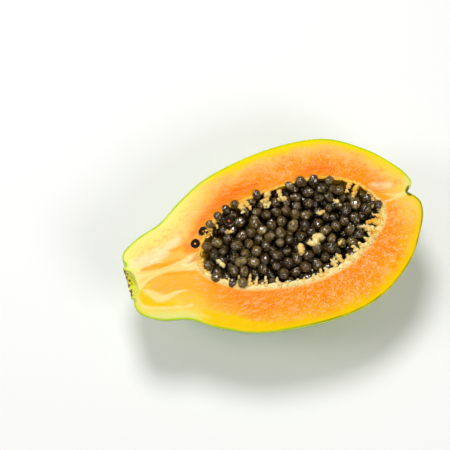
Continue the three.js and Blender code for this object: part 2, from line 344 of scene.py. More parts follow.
def stored(tree, name, output="Fac"):
    """What the mesh carries under a name: a number, or a place if the output is Vector."""
    return add(tree, "ShaderNodeAttribute", attribute_name=name).outputs[output]


def noise_of(tree, place, per_metre, detail):
    """Plain noise from 0 to 1."""
    inputs = {"Vector": place, "Scale": per_metre, "Detail": detail}
    return add(tree, "ShaderNodeTexNoise", inputs).outputs["Fac"]


def stretched(tree, place, scale):
    """Places whose pattern comes out longer where the scale is below 1."""
    return add(tree, "ShaderNodeMapping", {"Vector": place, "Scale": scale}).outputs[0]


# %% Products, mixes and ramps
ALONG, ACROSS, UP = 0, 1, 2


def math_node(tree, operation, first, second):
    return add(tree, "ShaderNodeMath", {0: first, 1: second}, operation=operation).outputs[0]


def times(tree, product, *others):
    """The product of two or more values."""
    for other in others:
        product = math_node(tree, "MULTIPLY", product, other)
    return product


def mixed(tree, share, first, second):
    """Colour between first and second, by share."""
    return add(tree, "ShaderNodeMix", {0: share, 6: first, 7: second}, data_type="RGBA").outputs[2]


def painted(tree, colour, tint, *masks):
    """A tint over a colour, as strong as the product of its masks."""
    return mixed(tree, times(tree, *masks), colour, tint)


def ramp(tree, value, stops):
    """Colour ramp through (place, colour) stops."""
    made = add(tree, "ShaderNodeValToRGB", {"Fac": value})
    elements = made.color_ramp.elements
    while len(elements) > 1:
        elements.remove(elements[0])
    elements[0].position, elements[0].color = stops[0]
    for place, colour in stops[1:]:
        elements.new(place).color = colour
    return made.outputs["Color"]


def scaled(tree, value, low, high, to_low=0.0, to_high=1.0):
    """Maps low..high smoothly to to_low..to_high and holds it there outside."""
    inputs = {"Value": value, "From Min": low, "From Max": high, "To Min": to_low, "To Max": to_high}
    return add(tree, "ShaderNodeMapRange", inputs, interpolation_type="SMOOTHSTEP").outputs["Result"]


def between(tree, coordinate, axis, low, high, *to):
    """The same for a coordinate, between two places of the modelling frame in millimetres."""
    return scaled(tree, coordinate, (TO_ROW[axis] + low) * MM, (TO_ROW[axis] + high) * MM, *to)


# %% Empty materials and node groups
def new_material(name):
    """An empty material with a Principled shader: returns the material, its tree and the shader."""
    material = bpy.data.materials.new(name)
    material.use_nodes = True
    tree = material.node_tree
    return material, tree, tree.nodes["Principled BSDF"]


def new_group(name, inputs, outputs):
    """An empty node group with named sockets: returns the group, its input node and its output node."""
    group = bpy.data.node_groups.new(name, "ShaderNodeTree")
    for label, kind, value in inputs:
        socket = group.interface.new_socket(name=label, in_out="INPUT", socket_type=kind)
        if value is not None:
            socket.default_value = value
    for label, kind in outputs:
        group.interface.new_socket(name=label, in_out="OUTPUT", socket_type=kind)
    return group, group.nodes.new("NodeGroupInput"), group.nodes.new("NodeGroupOutput")


# %% [markdown]
# ## Effects that several finishes share
#
# Flesh, skin, lining and seeds are all living tissue: their colour wanders in soft blotches, and their
# wet surfaces are finely uneven, which breaks every reflection into small glints. Each of these effects
# is one node group, and a short function places it in a material with its own size and strength.

# %% Node group: soft blotches
def make_blotches():
    """Mask from 0 to 1 of soft patches, Size metres across, whose edges are frayed by Fray."""
    group, entry, exit_node = new_group(
        "soft_blotches",
        [
            ("Vector", "NodeSocketVector", None),
            ("Size", "NodeSocketFloat", 0.005),
            ("Fray", "NodeSocketFloat", 0.6),
            ("Low", "NodeSocketFloat", 0.4),
            ("High", "NodeSocketFloat", 0.6),
        ],
        [("Mask", "NodeSocketFloat")],
    )
    given = entry.outputs
    pattern = add(group, "ShaderNodeTexNoise", {
        "Vector": given["Vector"],
        "Scale": math_node(group, "DIVIDE", 1.0, given["Size"]),
        "Detail": 5.0,
        "Roughness": given["Fray"],
        "Distortion": 0.4,
    })
    mask = scaled(group, pattern.outputs["Fac"], given["Low"], given["High"])
    group.links.new(mask, exit_node.inputs["Mask"])
    return group


blotches = make_blotches()


def patches(tree, place, size, fray, low, high):
    """Mask of blotches, size millimetres across. They cover less where low and high are higher."""
    inputs = {"Vector": place, "Size": size * MM, "Fray": fray, "Low": low, "High": high}
    return add(tree, "ShaderNodeGroup", inputs, node_tree=blotches).outputs["Mask"]


print("sockets of the blotches:", [socket.name for socket in blotches.interface.items_tree])

# %% Node group: wet relief
FINER = 3.7


def make_wet_relief():
    """Height of a moist uneven surface: soft lumps, Size metres across, with finer grain on them."""
    group, entry, exit_node = new_group(
        "wet_relief",
        [
            ("Vector", "NodeSocketVector", None),
            ("Size", "NodeSocketFloat", 0.002),
            ("Grain", "NodeSocketFloat", 0.35),
        ],
        [("Height", "NodeSocketFloat")],
    )
    given = entry.outputs
    per_metre = math_node(group, "DIVIDE", 1.0, given["Size"])
    lumps = noise_of(group, given["Vector"], per_metre, 2.0)
    cells = add(group, "ShaderNodeTexVoronoi", {
        "Vector": given["Vector"],
        "Scale": times(group, per_metre, FINER),
        "Smoothness": 0.6,
        "Randomness": 1.0,
    }, feature="SMOOTH_F1")
    grain = times(group, cells.outputs["Distance"], given["Grain"])
    group.links.new(math_node(group, "ADD", lumps, grain), exit_node.inputs["Height"])
    return group


wet_relief = make_wet_relief()


def wet_bump(tree, place, size, grain, strength, height):
    """Normal of a moist surface, with lumps of size millimetres across and height millimetres high."""
    inputs = {"Vector": place, "Size": size * MM, "Grain": grain}
    relief = add(tree, "ShaderNodeGroup", inputs, node_tree=wet_relief).outputs["Height"]
    inputs = {"Strength": strength, "Distance": height * MM, "Height": relief}
    return add(tree, "ShaderNodeBump", inputs).outputs["Normal"]


print("node groups:", [g.name for g in bpy.data.node_groups])

# %% [markdown]
# ## The cut face: what grows where
#
# The cut shows how the fruit grew. Pale bundles of veins run from the stem to the cavity, arc through the
# neck and gather again at the blossom end. Between them the flesh is deep orange where it ripened first.
# Each bundle is a short list of places with a half width. A mask worked out from them is stored on the
# mesh, where it costs nothing to render, and the material only turns it into colour.

# %% Bundles and streaks of the cut face: (along, across, half width) in millimetres
PALE_BUNDLES = [
    [(5.5, 0.2, 5.0), (9.5, 0.0, 3.5), (13.5, 0.2, 2.2), (17.5, 0.3, 1.5), (22.0, 0.4, 1.4),
     (27.0, 0.0, 2.0), (31.0, 0.1, 2.9), (35.0, -0.4, 3.6)],
    [(33.0, 0.8, 2.0), (37.0, 2.6, 1.5), (40.5, 3.4, 0.8)],
    [(33.0, -2.0, 1.8), (37.0, -3.4, 1.2), (41.0, -4.9, 0.4)],
    [(7.9, -6.4, 0.4), (10.6, -8.9, 1.2), (12.7, -11.4, 1.9), (15.3, -13.3, 2.0), (18.4, -13.7, 1.4),
     (22.0, -13.1, 0.8), (25.0, -12.9, 0.3), (28.0, -13.1, 0.0)],
    [(3.1, -9.6, 0.5), (3.6, -12.1, 0.4), (5.0, -14.6, 0.4), (7.1, -16.1, 0.4), (15.1, -18.8, 0.4),
     (23.9, -21.3, 0.3), (28.6, -21.6, 0.2)],
    [(154.7, -0.4, 0.4), (150.6, 0.3, 0.3), (145.8, 1.2, 0.3), (141.4, 3.1, 0.3), (137.3, 5.8, 0.3),
     (134.7, 8.1, 0.3), (133.8, 10.2, 0.2)],
    [(154.5, -1.0, 0.4), (148.4, -1.1, 0.3), (144.8, -1.6, 0.5), (141.2, -2.1, 0.3)],
]
GOLD_STREAKS = [
    [(9.7, 4.4, 0.2), (15.5, 3.9, 1.1), (19.4, 3.6, 1.1), (24.2, 3.5, 0.7), (28.9, 3.5, 0.5),
     (33.7, 3.7, 0.2)],
    [(8.2, -5.2, 0.2), (11.8, -3.0, 0.3), (16.0, -1.9, 0.3), (22.0, -1.8, 0.3), (30.0, -3.6, 0.3),
     (36.0, -5.6, 0.2)],
    [(27.0, 9.6, 0.2), (30.0, 9.2, 0.5), (33.0, 9.8, 0.4)],
    [(135.0, 6.4, 0.8), (139.6, 3.3, 1.3), (145.4, 0.0, 0.3)],
    [(138.0, -3.6, 0.6), (142.0, -3.2, 0.8), (147.0, -2.4, 0.2)],
]
RIPE_STREAKS = [
    [(36.4, 10.4, 1.0), (37.2, 7.4, 2.0), (39.4, 5.6, 1.2)],
    [(40.0, 12.4, 1.0), (46.0, 18.0, 1.4), (54.0, 23.4, 1.6), (66.0, 28.0, 1.6), (80.0, 29.6, 0.8)],
    [(108.0, 27.6, 0.6), (114.0, 27.4, 1.4), (121.0, 25.0, 1.2)],
]
GOLDEN_STREAKS = [
    [(7.4, -6.3, 0.4), (5.9, -8.6, 1.1), (6.9, -11.5, 2.1), (10.5, -14.1, 1.9), (15.0, -16.3, 1.3),
     (20.0, -17.6, 0.8)],
    [(33.0, -31.0, 0.6), (40.0, -35.2, 1.8), (48.0, -38.4, 2.0), (56.0, -41.6, 1.2), (64.0, -44.6, 0.6)],
    [(34.0, -27.0, 0.4), (39.0, -31.0, 1.6), (46.0, -35.0, 1.6), (53.0, -38.6, 0.8)],
]
CREAMY = [
    [(6.5, 9.0, 0.6), (12.0, 8.6, 2.2), (18.0, 8.8, 2.4), (25.0, 11.0, 1.6), (32.0, 14.0, 0.8)],
    [(33.0, 0.6, 2.2), (37.0, -0.4, 2.4)],
    [(139.5, 9.4, 0.3), (143.0, 8.2, 0.6), (147.0, 6.6, 0.3)],
]
GREENISH = [
    [(158.2, 7.6, 0.4), (157.2, 4.4, 1.4), (155.8, 1.8, 0.8)],
    [(6.0, -20.5, 0.6), (12.0, -22.6, 1.2), (20.0, -24.6, 1.0), (28.0, -27.2, 0.6)],
]
BROWN_STREAKS = [
    [(33.8, 0.2, 0.1), (36.0, 0.6, 0.4), (38.6, 1.2, 0.9), (40.5, 1.6, 1.2)],
    [(74.6, 26.5, 0.1), (74.8, 26.6, 0.2)],
    [(68.2, 25.7, 0.1), (68.6, 25.7, 0.2)],
]
BAND_LINES = [
    [(7.0, 3.6, 0.1), (12.0, 2.1, 0.25), (18.0, 1.0, 0.2), (26.0, 0.9, 0.2), (34.0, 1.4, 0.2)],
    [(6.4, -1.8, 0.2), (8.6, -0.8, 0.9), (11.4, -0.4, 0.5), (15.0, 0.0, 0.15)],
    [(19.0, -0.5, 0.15), (27.0, -1.2, 0.25), (35.0, -2.2, 0.2)],
]
NOTCH = [
    [(156.6, 2.6, 0.2), (155.3, 0.8, 0.7), (155.4, -1.3, 0.8), (156.3, -2.5, 0.3)],
]
ORANGE_LENS = [
    [(11.0, -6.0, 0.8), (15.0, -6.4, 3.2), (20.0, -6.8, 4.2), (26.0, -7.4, 4.2), (33.0, -8.8, 4.2)],
]
FACE_BANDS = {
    # name on the mesh: bands, how soft and how frayed their edges are, in millimetres
    "notch": (NOTCH, 0.6, 0.3),
    "pale": (PALE_BUNDLES, 1.0, 0.6),
    "gold_streak": (GOLD_STREAKS, 1.2, 0.6),
    "ripe": (RIPE_STREAKS, 3.6, 1.6),
    "golden": (GOLDEN_STREAKS, 1.6, 0.5),
    "lens": (ORANGE_LENS, 2.4, 0.6),
    "greenish": (GREENISH, 2.6, 0.5),
    "creamy": (CREAMY, 3.0, 1.4),
    "brown": (BROWN_STREAKS, 0.8, 0.5),
    "band_line": (BAND_LINES, 0.9, 0.4),
}
SAMPLES_PER_PLACE = 24


def band_mask(points, bands, soft, fray):
    """1 inside any of the bands, falling to 0 over soft millimetres past its half width."""
    mask = np.zeros(len(points))
    long_noise = noise_at(points * (0.3, 1, 1), 2.2, 13.0, 3)
    for band in bands:
        rows = [("place", place) for place in band]
        line = side_curve(rows, FAR, np.linspace(0, 1, SAMPLES_PER_PLACE * len(band)))
        gap = np.full(len(points), np.inf)
        for x, y, half_width in line:
            gap = np.minimum(gap, np.hypot(points[:, 0] - x, points[:, 1] - y) - half_width)
        gap += fray * long_noise
        mask = np.maximum(mask, 1 - smooth_step(gap, -soft / 2, soft))
    return mask


print("bands on the cut face:", {name: len(bands) for name, (bands, _, _) in FACE_BANDS.items()})


# %% [markdown]
# ## Skin, flesh and cavity wall as one body
#
# The skin, the cut face and the wall of the cavity are three grids that share their edges, so the half
# is one closed body, as it grew. The grid of the cut face runs from the skin's rim to the cavity's rim.
# Its rows are closer at both edges, where the knife left a slightly rounded edge.

# %% Build the half
RIM_STEPS = 360
SKIN_COLUMNS = 64
FACE_ROWS = 60
WALL_COLUMNS = 16
EDGE_CROWD = 0.7
EDGE_ROUND = 0.28


def skin_crowd(along):
    return 1 + 1.6 * math.exp(-((along / 8) ** 2)) + 1.2 * math.exp(-(((160 - along) / 6) ** 2))


def skin_lobe(t):
    return SKIN_LOBE + END_LOBE * end_share(t) ** 3


def blossom_tuck(t):
    """How far the skin is pulled in underneath, near the blossom end."""
    return BLOSSOM_TUCK * smooth_step(t, TUCK_STARTS, TUCK_FULL) * (1 - smooth_step(t, TUCK_FADES, 1.0))


def build_half():
    t_skin = even_steps(SKIN_OUTLINE, RIM_STEPS, skin_crowd)
    t_wall = even_steps(CAVITY_OUTLINE, RIM_STEPS)
    angle = np.linspace(0, math.pi, SKIN_COLUMNS + 1)
    t, a = np.meshgrid(t_skin, angle, indexing="ij")
    skin = body_points(SKIN_OUTLINE, t, a, lobe=skin_lobe(t), tuck=blossom_tuck(t))
    angle_wall = np.linspace(0, math.pi, WALL_COLUMNS + 1)
    tw, aw = np.meshgrid(t_wall, angle_wall, indexing="ij")
    wall = body_points(CAVITY_OUTLINE, tw, aw, CAVITY_AXIS_Y, CAVITY_LOBE)
    skin_rim = np.concatenate([skin[:, -1], skin[::-1, 0]])
    wall_rim = np.concatenate([wall[:, -1], wall[::-1, 0]])
    u = np.linspace(0, 1, FACE_ROWS + 1)
    share = (u - EDGE_CROWD * np.sin(2 * math.pi * u) / (2 * math.pi))[None, :, None]
    face = skin_rim[:, None] * (1 - share) + wall_rim[:, None] * share
    return skin, face, wall, t


skin, face, wall, skin_t = build_half()
print("grids of skin, cut face and wall:", skin.shape[:2], face.shape[:2], wall.shape[:2])

# %% [markdown]
# ## Values on the cut face
#
# The colour of the flesh follows two distances: from the skin, where it is yellow, and from the cavity,
# where it is deep orange. Both are stored on the mesh in millimetres, beside the masks of the bands. A
# further value, flow, is a place that turns with the rim of the cavity, so that the short fibres of the
# flesh can point away from it everywhere.

# %% Measure the cut face
FLOW_RADIUS = 40.0
RIND_WIDTH = (1.3, 0.4)
HOLLOW_ACROSS, HOLLOW_ALONG = (9.0, 7.5), (9.0, 7.0)


def measure_face(face, skin_rim, wall_rim):
    """Values for each point of the cut face. The rind isn't drawn where the stem hollow was cut through."""
    rows, columns = face.shape[:2]
    points = face.reshape(-1, 3)
    from_skin = distance_to_line(points, skin_rim)
    from_cavity = distance_to_line(points, wall_rim)
    around = np.concatenate([np.linspace(0, 0.5, rows // 2), np.linspace(0.5, 1, rows - rows // 2)])
    turn = np.repeat(around * 2 * math.pi, columns)
    flow = np.stack([FLOW_RADIUS * np.cos(turn), FLOW_RADIUS * np.sin(turn), from_cavity], -1) * MM
    at_hollow = smooth_step(np.abs(points[:, 1]), *HOLLOW_ACROSS) * smooth_step(points[:, 0], *HOLLOW_ALONG)
    values = {name: band_mask(points, *row) for name, row in FACE_BANDS.items()}
    values["rind"] = smooth_step(from_skin, *RIND_WIDTH) * (1 - at_hollow)
    return {**values, "from_skin": from_skin, "from_cavity": from_cavity, "flow": flow}


face_values = measure_face(face, face[:, 0], face[:, -1])
print("widest flesh, mm:", round(face_values["from_skin"].max(), 1))

# %% [markdown]
# ## Relief of the cut face and the skin
#
# A knife leaves flesh almost flat: it dips a few tenths of a millimetre where the tissue is soft, the
# pale bundles stand a little proud, and the edges are rounded. On the skin, the corky rim of the stem
# scar is rough and broken. These are real shapes, so they are moved points and not bump.

# %% Shape the relief
FLESH_DIP = 0.16
BUNDLE_RISE = 0.12
CORK_ROUGH, CORK_AT, CORK_REACH = 0.5, 2.1, 0.55
STATIONS = len(SKIN_OUTLINE) - 1
DENT_SIZE, DENT_DEPTH = 26.0, 0.006
DENTS_START, DENTS_END = (4, 7), (13, 15)


def relief_of_face(face, values):
    points = face.reshape(-1, 3)
    dip = 0.5 + 0.5 * noise_at(points, 5.0, 1.0, 3)
    edge = np.exp(-values["from_skin"] / EDGE_ROUND) + np.exp(-values["from_cavity"] / EDGE_ROUND)
    inner = smooth_step(values["from_skin"], 0, 1.5) * smooth_step(values["from_cavity"], 0, 1.0)
    lowered = FLESH_DIP * np.clip(dip, 0, 1) * inner * (1 - 0.7 * values["pale"])
    lowered += BUNDLE_RISE * (1 - values["pale"]) * inner
    lowered += EDGE_ROUND * np.clip(edge, 0, 1)
    points[:, 2] -= lowered
    return points.reshape(face.shape)


def round_edge(grid):
    """Lowers the rim of the skin or of the cavity wall, as far as the cut face's own edge is lowered."""
    grid[..., 2] -= EDGE_ROUND * np.exp(grid[..., 2] / (2 * EDGE_ROUND))
    return grid


def relief_of_skin(skin, t):
    """Roughens the corky rim and dents the belly, but not the cut's own edge nor the flat spot."""
    points = skin.reshape(-1, 3)
    station = (t * STATIONS).ravel()
    cork = np.exp(-(((station - CORK_AT) / CORK_REACH) ** 2))
    points[:, 0] += CORK_ROUGH * cork * (noise_at(points, 1.6, 4.0, 3) - 0.2)
    dent = 0.5 + 0.5 * noise_at(points, DENT_SIZE, 7.0)
    on_belly = smooth_step(station, *DENTS_START) * (1 - smooth_step(station, *DENTS_END))
    below_cut = smooth_step(-points[:, 2], 0.0, 9.0)
    points[:, 1:] *= (1 - below_cut * DENT_DEPTH * dent * on_belly)[:, None]
    points[:, 2] = np.maximum(points[:, 2], -CUT_LEVEL)
    return points.reshape(skin.shape)


skin = round_edge(relief_of_skin(skin.copy(), skin_t))
wall = round_edge(wall.copy())
face = relief_of_face(face.copy(), face_values)
face[:, 0] = np.concatenate([skin[:, -1], skin[::-1, 0]])
face[:, -1] = np.concatenate([wall[:, -1], wall[::-1, 0]])
print("deepest dip of the cut face, mm:", round(float(-face[..., 2].min()), 2))

# %% [markdown]
# ## Finish of the flesh
#
# Ripe papaya flesh is yellow just under the skin and turns orange within a centimetre. The near side is
# golden, and the far side paler and rosier. The neck stays pale yellow, with a green tint beside the
# skin. Ramps over the distance from the skin give the belly and the neck of each side. Over them lie fine
# mottling, as of cut cells, with pale flecks that are partly painted glints of wet flesh, then the bundles
# and streaks, and last the green line of the rind. Painting in layers, from broad to fine, keeps each
# effect in a few lines that can be corrected by itself.

# %% Flesh colours
FLESH_DEPTH = 24.0
# Stops of the ramps: millimetres from the skin, and screen colour.
NEAR_FLESH = [
    (0.0, (252, 212, 2)), (1.5, (255, 203, 0)), (3.0, (255, 195, 0)), (5.0, (255, 183, 8)),
    (7.5, (254, 165, 10)), (11.0, (253, 148, 6)), (14.5, (253, 136, 0)), (19.0, (254, 134, 0)),
]
FAR_FLESH = [
    (0.0, (240, 230, 4)), (1.5, (255, 221, 2)), (3.2, (255, 213, 42)), (5.2, (254, 202, 88)),
    (7.5, (254, 184, 92)), (10.5, (254, 156, 46)), (13.5, (253, 141, 10)), (18.0, (253, 140, 0)),
]
NEAR_NECK = [
    (0.0, (206, 222, 20)), (1.2, (236, 228, 92)), (4.0, (250, 230, 100)), (7.0, (255, 225, 84)),
    (11.0, (255, 212, 60)), (16.0, (255, 192, 54)), (21.0, (255, 186, 44)),
]
FAR_NECK = [
    (0.0, (196, 230, 20)), (1.2, (250, 244, 130)), (4.0, (255, 243, 136)), (8.0, (255, 237, 130)),
    (12.0, (255, 224, 132)), (17.0, (255, 198, 74)), (22.0, (255, 200, 84)),
]
BLOSSOM_PALE = lit(254, 216, 92)
CREAM_WHITE = lit(255, 246, 196)
STRONG_ORANGE = lit(252, 118, 2)
ROSY_LIGHT = lit(255, 192, 132)
CELL_YELLOW = lit(255, 188, 36)
FLECK_AND_PAINTED_GLINT = lit(255, 206, 152)
RIM_GOLD = lit(248, 144, 8)
LINING_LIGHT = lit(253, 218, 142)
RIND_GREEN = lit(178, 212, 0)
RIND_OLIVE = lit(136, 150, 0)
NOTCH_DARK = lit(104, 104, 10)
# Bands under and over the mottling: name on the mesh, tint and strength.
BANDS_UNDER = [("creamy", CREAM_WHITE, 0.75), ("lens", lit(255, 186, 58), 0.85)]
BANDS_OVER = [
    ("golden", lit(255, 205, 4), 1.1),
    ("ripe", lit(252, 96, 4), 0.6),
    ("pale", lit(255, 232, 150), 0.9),
    ("creamy", CREAM_WHITE, 0.22),
    ("band_line", lit(255, 204, 84), 0.55),
    ("gold_streak", lit(255, 170, 6), 0.95),
    ("greenish", lit(232, 234, 150), 0.7),
    ("brown", lit(222, 140, 34), 0.8),
]
print("layers of bands under the mottling:", len(BANDS_UNDER), "and over it:", len(BANDS_OVER))

# %% Where the colours of the flesh change
# Each change starts and ends at a place along the half from its stem end, or across from its axis, in mm.
NEAR_SIDE = (6, -8)
NECK = (68, 32)
NECK_LEAN = 10
BELLY = (40, 74)
LOWER_BELLY = (60, 100)
BLOSSOM_END = (138, 157)
BLOSSOM_SEAM = (-20, -11)
FIBRE_STRETCH = (1.0, 1.0, 0.75)


def flesh_places(tree):
    """What the layers read: places, distances in millimetres, and shares from 0 to 1."""
    at = SimpleNamespace(from_skin=stored(tree, "from_skin"), from_cavity=stored(tree, "from_cavity"))
    at.place = add(tree, "ShaderNodeTexCoord").outputs["Object"]
    at.x, at.y, _ = add(tree, "ShaderNodeSeparateXYZ", {0: at.place}).outputs
    at.fibres = stretched(tree, stored(tree, "flow", "Vector"), FIBRE_STRETCH)
    at.wander = noise_of(tree, at.place, 110.0, 3.0)
    at.near = between(tree, at.y, ACROSS, *NEAR_SIDE)
    at.neck_x = math_node(tree, "ADD", at.x, times(tree, at.near, NECK_LEAN * MM))
    at.belly = between(tree, at.neck_x, ALONG, *BELLY)
    at.lower = times(tree, at.near, between(tree, at.x, ALONG, *LOWER_BELLY))
    at.grown = scaled(tree, at.from_skin, 2.0, 7.0)
    return at


# %% Broad colours of the flesh
def depth_ramp(tree, depth, stops):
    """Ramp over the distance from the skin, as a share of FLESH_DEPTH."""
    return ramp(tree, depth, [(mm / FLESH_DEPTH, lit(*colour)) for mm, colour in stops])


def broad_colours(tree, at):
    """Belly and neck of each side, and the paler blossom end. The depth wanders, so no line is straight."""
    shift = scaled(tree, at.wander, 0.3, 0.7, -1.6, 1.6)
    inside = scaled(tree, at.from_skin, 0.8, 4.0)
    moved = math_node(tree, "ADD", at.from_skin, times(tree, shift, inside))
    depth = math_node(tree, "DIVIDE", moved, FLESH_DEPTH)
    belly, neck = [
        mixed(tree, at.near, depth_ramp(tree, depth, far), depth_ramp(tree, depth, near))
        for far, near in ((FAR_FLESH, NEAR_FLESH), (FAR_NECK, NEAR_NECK))
    ]
    colour = mixed(tree, between(tree, at.neck_x, ALONG, *NECK), belly, neck)
    at_end = between(tree, at.x, ALONG, *BLOSSOM_END, 0.0, 0.75)
    past_rind = scaled(tree, at.from_skin, 0.6, 3.0)
    at_seam = between(tree, at.y, ACROSS, *BLOSSOM_SEAM, 0.25, 1.0)
    return painted(tree, colour, BLOSSOM_PALE, at_end, past_rind, at_seam)


# %% Mottling, bands and edges of the flesh
def mottled(tree, at, colour):
    """Ripe clouds, rosy fibres, yellow cells and pale flecks, all away from the skin; the flecks are partly
    painted glints.
    """
    ripe = patches(tree, at.place, 5.5, 0.7, 0.5, 0.68)
    colour = painted(tree, colour, STRONG_ORANGE, ripe, at.grown, at.belly, 0.65)
    rosy = patches(tree, at.fibres, 2.0, 0.8, 0.5, 0.62)
    colour = painted(tree, colour, ROSY_LIGHT, rosy, at.grown, 0.65)
    cells = patches(tree, at.fibres, 0.8, 0.7, 0.44, 0.58)
    colour = painted(tree, colour, CELL_YELLOW, cells, at.grown, 0.35)
    # Pale flecks, partly the flesh's own and partly painted glints of wet flesh, more of them on the near
    # side towards the blossom end.
    flecks_and_painted_glints = patches(tree, at.fibres, 0.75, 0.5, 0.57, 0.63)
    more_flecks_and_glints_below = scaled(tree, at.lower, 0.0, 1.0, 0.4, 0.75)
    return painted(tree, colour, FLECK_AND_PAINTED_GLINT, flecks_and_painted_glints, more_flecks_and_glints_below, at.belly, at.grown)


def banded(tree, at, colour):
    """The bundles, streaks and stains, broken into fibres that run along the half."""
    fibres = noise_of(tree, stretched(tree, at.place, (0.25, 1.0, 1.0)), 900.0, 3.0)
    streak = scaled(tree, fibres, 0.35, 0.6, 0.72, 1.0)
    for name, tint, strength in BANDS_OVER:
        colour = painted(tree, colour, tint, stored(tree, name), streak, strength)
    return colour


def edged(tree, at, colour):
    """Gold beside the far wall, cream beside the near lining, the line of the rind and the dark notch."""
    by_far_wall = scaled(tree, at.from_cavity, 4.5, 0.8, 0.0, 0.5)
    colour = painted(tree, colour, RIM_GOLD, by_far_wall, scaled(tree, at.near, 1.0, 0.0))
    by_lining = scaled(tree, at.from_cavity, 1.9, 0.2, 0.0, 0.9)
    colour = painted(tree, colour, LINING_LIGHT, by_lining, at.near)
    green = mixed(tree, at.lower, RIND_GREEN, RIND_OLIVE)
    uneven = scaled(tree, at.wander, 0.35, 0.6, 0.45, 0.95)
    colour = painted(tree, colour, green, stored(tree, "rind"), uneven)
    return painted(tree, colour, NOTCH_DARK, stored(tree, "notch"))


# %% Flesh material
def make_flesh():
    material, tree, shader = new_material("papaya_flesh")
    at = flesh_places(tree)
    colour = broad_colours(tree, at)
    for name, tint, strength in BANDS_UNDER:
        colour = painted(tree, colour, tint, stored(tree, name), strength)
    for layer in (mottled, banded, edged):
        colour = layer(tree, at, colour)
    wet = patches(tree, at.place, 14, 0.6, 0.42, 0.62)
    drops = patches(tree, at.fibres, 1.1, 0.6, 0.54, 0.6)
    wetter_below = scaled(tree, at.lower, 0.0, 1.0, 0.12, 1.0)
    fill(tree, shader, {
        "Base Color": colour,
        "Normal": wet_bump(tree, at.fibres, 1.3, 0.5, 0.5, 0.35),
        "Coat Weight": times(tree, wet, wetter_below, drops, at.grown),
        "Coat Roughness": 0.12,
        "Roughness": scaled(tree, wet, 0.0, 1.0, 0.62, 0.5),
        "Specular IOR Level": 0.04,
        "Subsurface Weight": 0.1,
        "Subsurface Radius": (1.0, 0.5, 0.15),
        "Subsurface Scale": 1.5 * MM,
    })
    return material


flesh_material = make_flesh()
print("flesh:", len(flesh_material.node_tree.nodes), "nodes")

# %% [markdown]
# ## Finish of the skin
#
# The skin is smooth, waxy and green, and it is turning yellow: bright yellow-green along the shoulders,
# deeper green in cloudy patches, and full of tiny pores. The hollow where the stem was is yellow-green,
# with a brown corky rim. The station, which counts the places of the outline from the stem end, is
# stored on the skin, so the rim, the hollow and the dimple are found by number.

# %% Skin material
SKIN_GREEN, SKIN_LIGHT = lit(122, 164, 0), lit(166, 202, 4)
SKIN_DARK = lit(92, 132, 0)
SKIN_YELLOW = lit(228, 220, 6)
SKIN_BY_CUT_PAINTED_LIGHT = lit(212, 240, 20)
SKIN_BY_ENDS = lit(190, 220, 4)
PORE = lit(210, 222, 70)
HOLLOW_YELLOW, HOLLOW_GREEN = lit(250, 246, 60), lit(230, 238, 0)
CORK, CORK_DARK = lit(190, 140, 62), lit(120, 74, 30)
DIMPLE_DARK = lit(70, 92, 10)


def green_skin(tree, place, station, cloudy):
    """Clouds of green and yellow with tiny pores, paler towards the ends, and pale lime beside the cut:
    partly its colour, partly painted light.
    """
    long_place = stretched(tree, place, (0.4, 1.0, 1.0))
    colour = mixed(tree, cloudy, SKIN_GREEN, SKIN_LIGHT)
    colour = painted(tree, colour, SKIN_DARK, patches(tree, long_place, 9, 0.7, 0.5, 0.72), 0.7)
    colour = painted(tree, colour, SKIN_YELLOW, patches(tree, place, 34, 0.5, 0.52, 0.72), 0.8)
    z = add(tree, "ShaderNodeSeparateXYZ", {0: place}).outputs["Z"]
    # Painted light: a pale lime band beside the cut, partly the skin's own colour there, brightens skin that
    # faces sideways and gets little light.
    colour = painted(tree, colour, SKIN_BY_CUT_PAINTED_LIGHT, between(tree, z, UP, -7, -0.6, 0.0, 0.85))
    by_ends = math_node(tree, "MAXIMUM", scaled(tree, station, 7.0, 4.5), scaled(tree, station, 13.2, 14.6))
    colour = painted(tree, colour, SKIN_BY_ENDS, by_ends, 0.6)
    pores = add(tree, "ShaderNodeTexVoronoi", {"Vector": place, "Scale": 900.0, "Randomness": 1.0})
    return painted(tree, colour, PORE, scaled(tree, pores.outputs["Distance"], 0.02, 0.25, 0.5, 0.0))


def make_skin():
    material, tree, shader = new_material("papaya_skin")
    place = add(tree, "ShaderNodeTexCoord").outputs["Object"]
    station = stored(tree, "station")
    cloudy = patches(tree, stretched(tree, place, (0.4, 1.0, 1.0)), 22, 0.55, 0.38, 0.62)
    colour = green_skin(tree, place, station, cloudy)
    frayed = noise_of(tree, place, 700.0, 4.0)
    moved = math_node(tree, "ADD", station, scaled(tree, frayed, 0.3, 0.7, -0.35, 0.35))
    hollow = mixed(tree, scaled(tree, frayed, 0.4, 0.65), HOLLOW_YELLOW, HOLLOW_GREEN)
    colour = painted(tree, colour, hollow, scaled(tree, moved, 2.3, 1.8))
    cork = mixed(tree, scaled(tree, frayed, 0.45, 0.6), CORK, CORK_DARK)
    on_rim = times(tree, scaled(tree, moved, 1.6, 1.85), scaled(tree, moved, 2.6, 2.25))
    colour = painted(tree, colour, cork, on_rim)
    waxy = scaled(tree, cloudy, 0.0, 1.0, 0.3, 0.38)
    fill(tree, shader, {
        "Base Color": painted(tree, colour, DIMPLE_DARK, scaled(tree, moved, 15.2, 15.7)),
        "Normal": wet_bump(tree, place, 2.6, 0.25, 0.16, 0.3),
        "Roughness": math_node(tree, "ADD", waxy, times(tree, on_rim, 0.45)),
        "Coat Weight": 0.25,
        "Coat Roughness": 0.2,
    })
    return material


skin_material = make_skin()
print("skin:", len(skin_material.node_tree.nodes), "nodes")

# %% [markdown]
# ## Put the half together
#
# The three grids become one mesh with two finishes: the flesh on the cut face and the cavity wall, and
# the skin on the outside, the stem scar and the dimple.

# %% Assemble the half
FLESH_SLOT, SKIN_SLOT = 0, 1


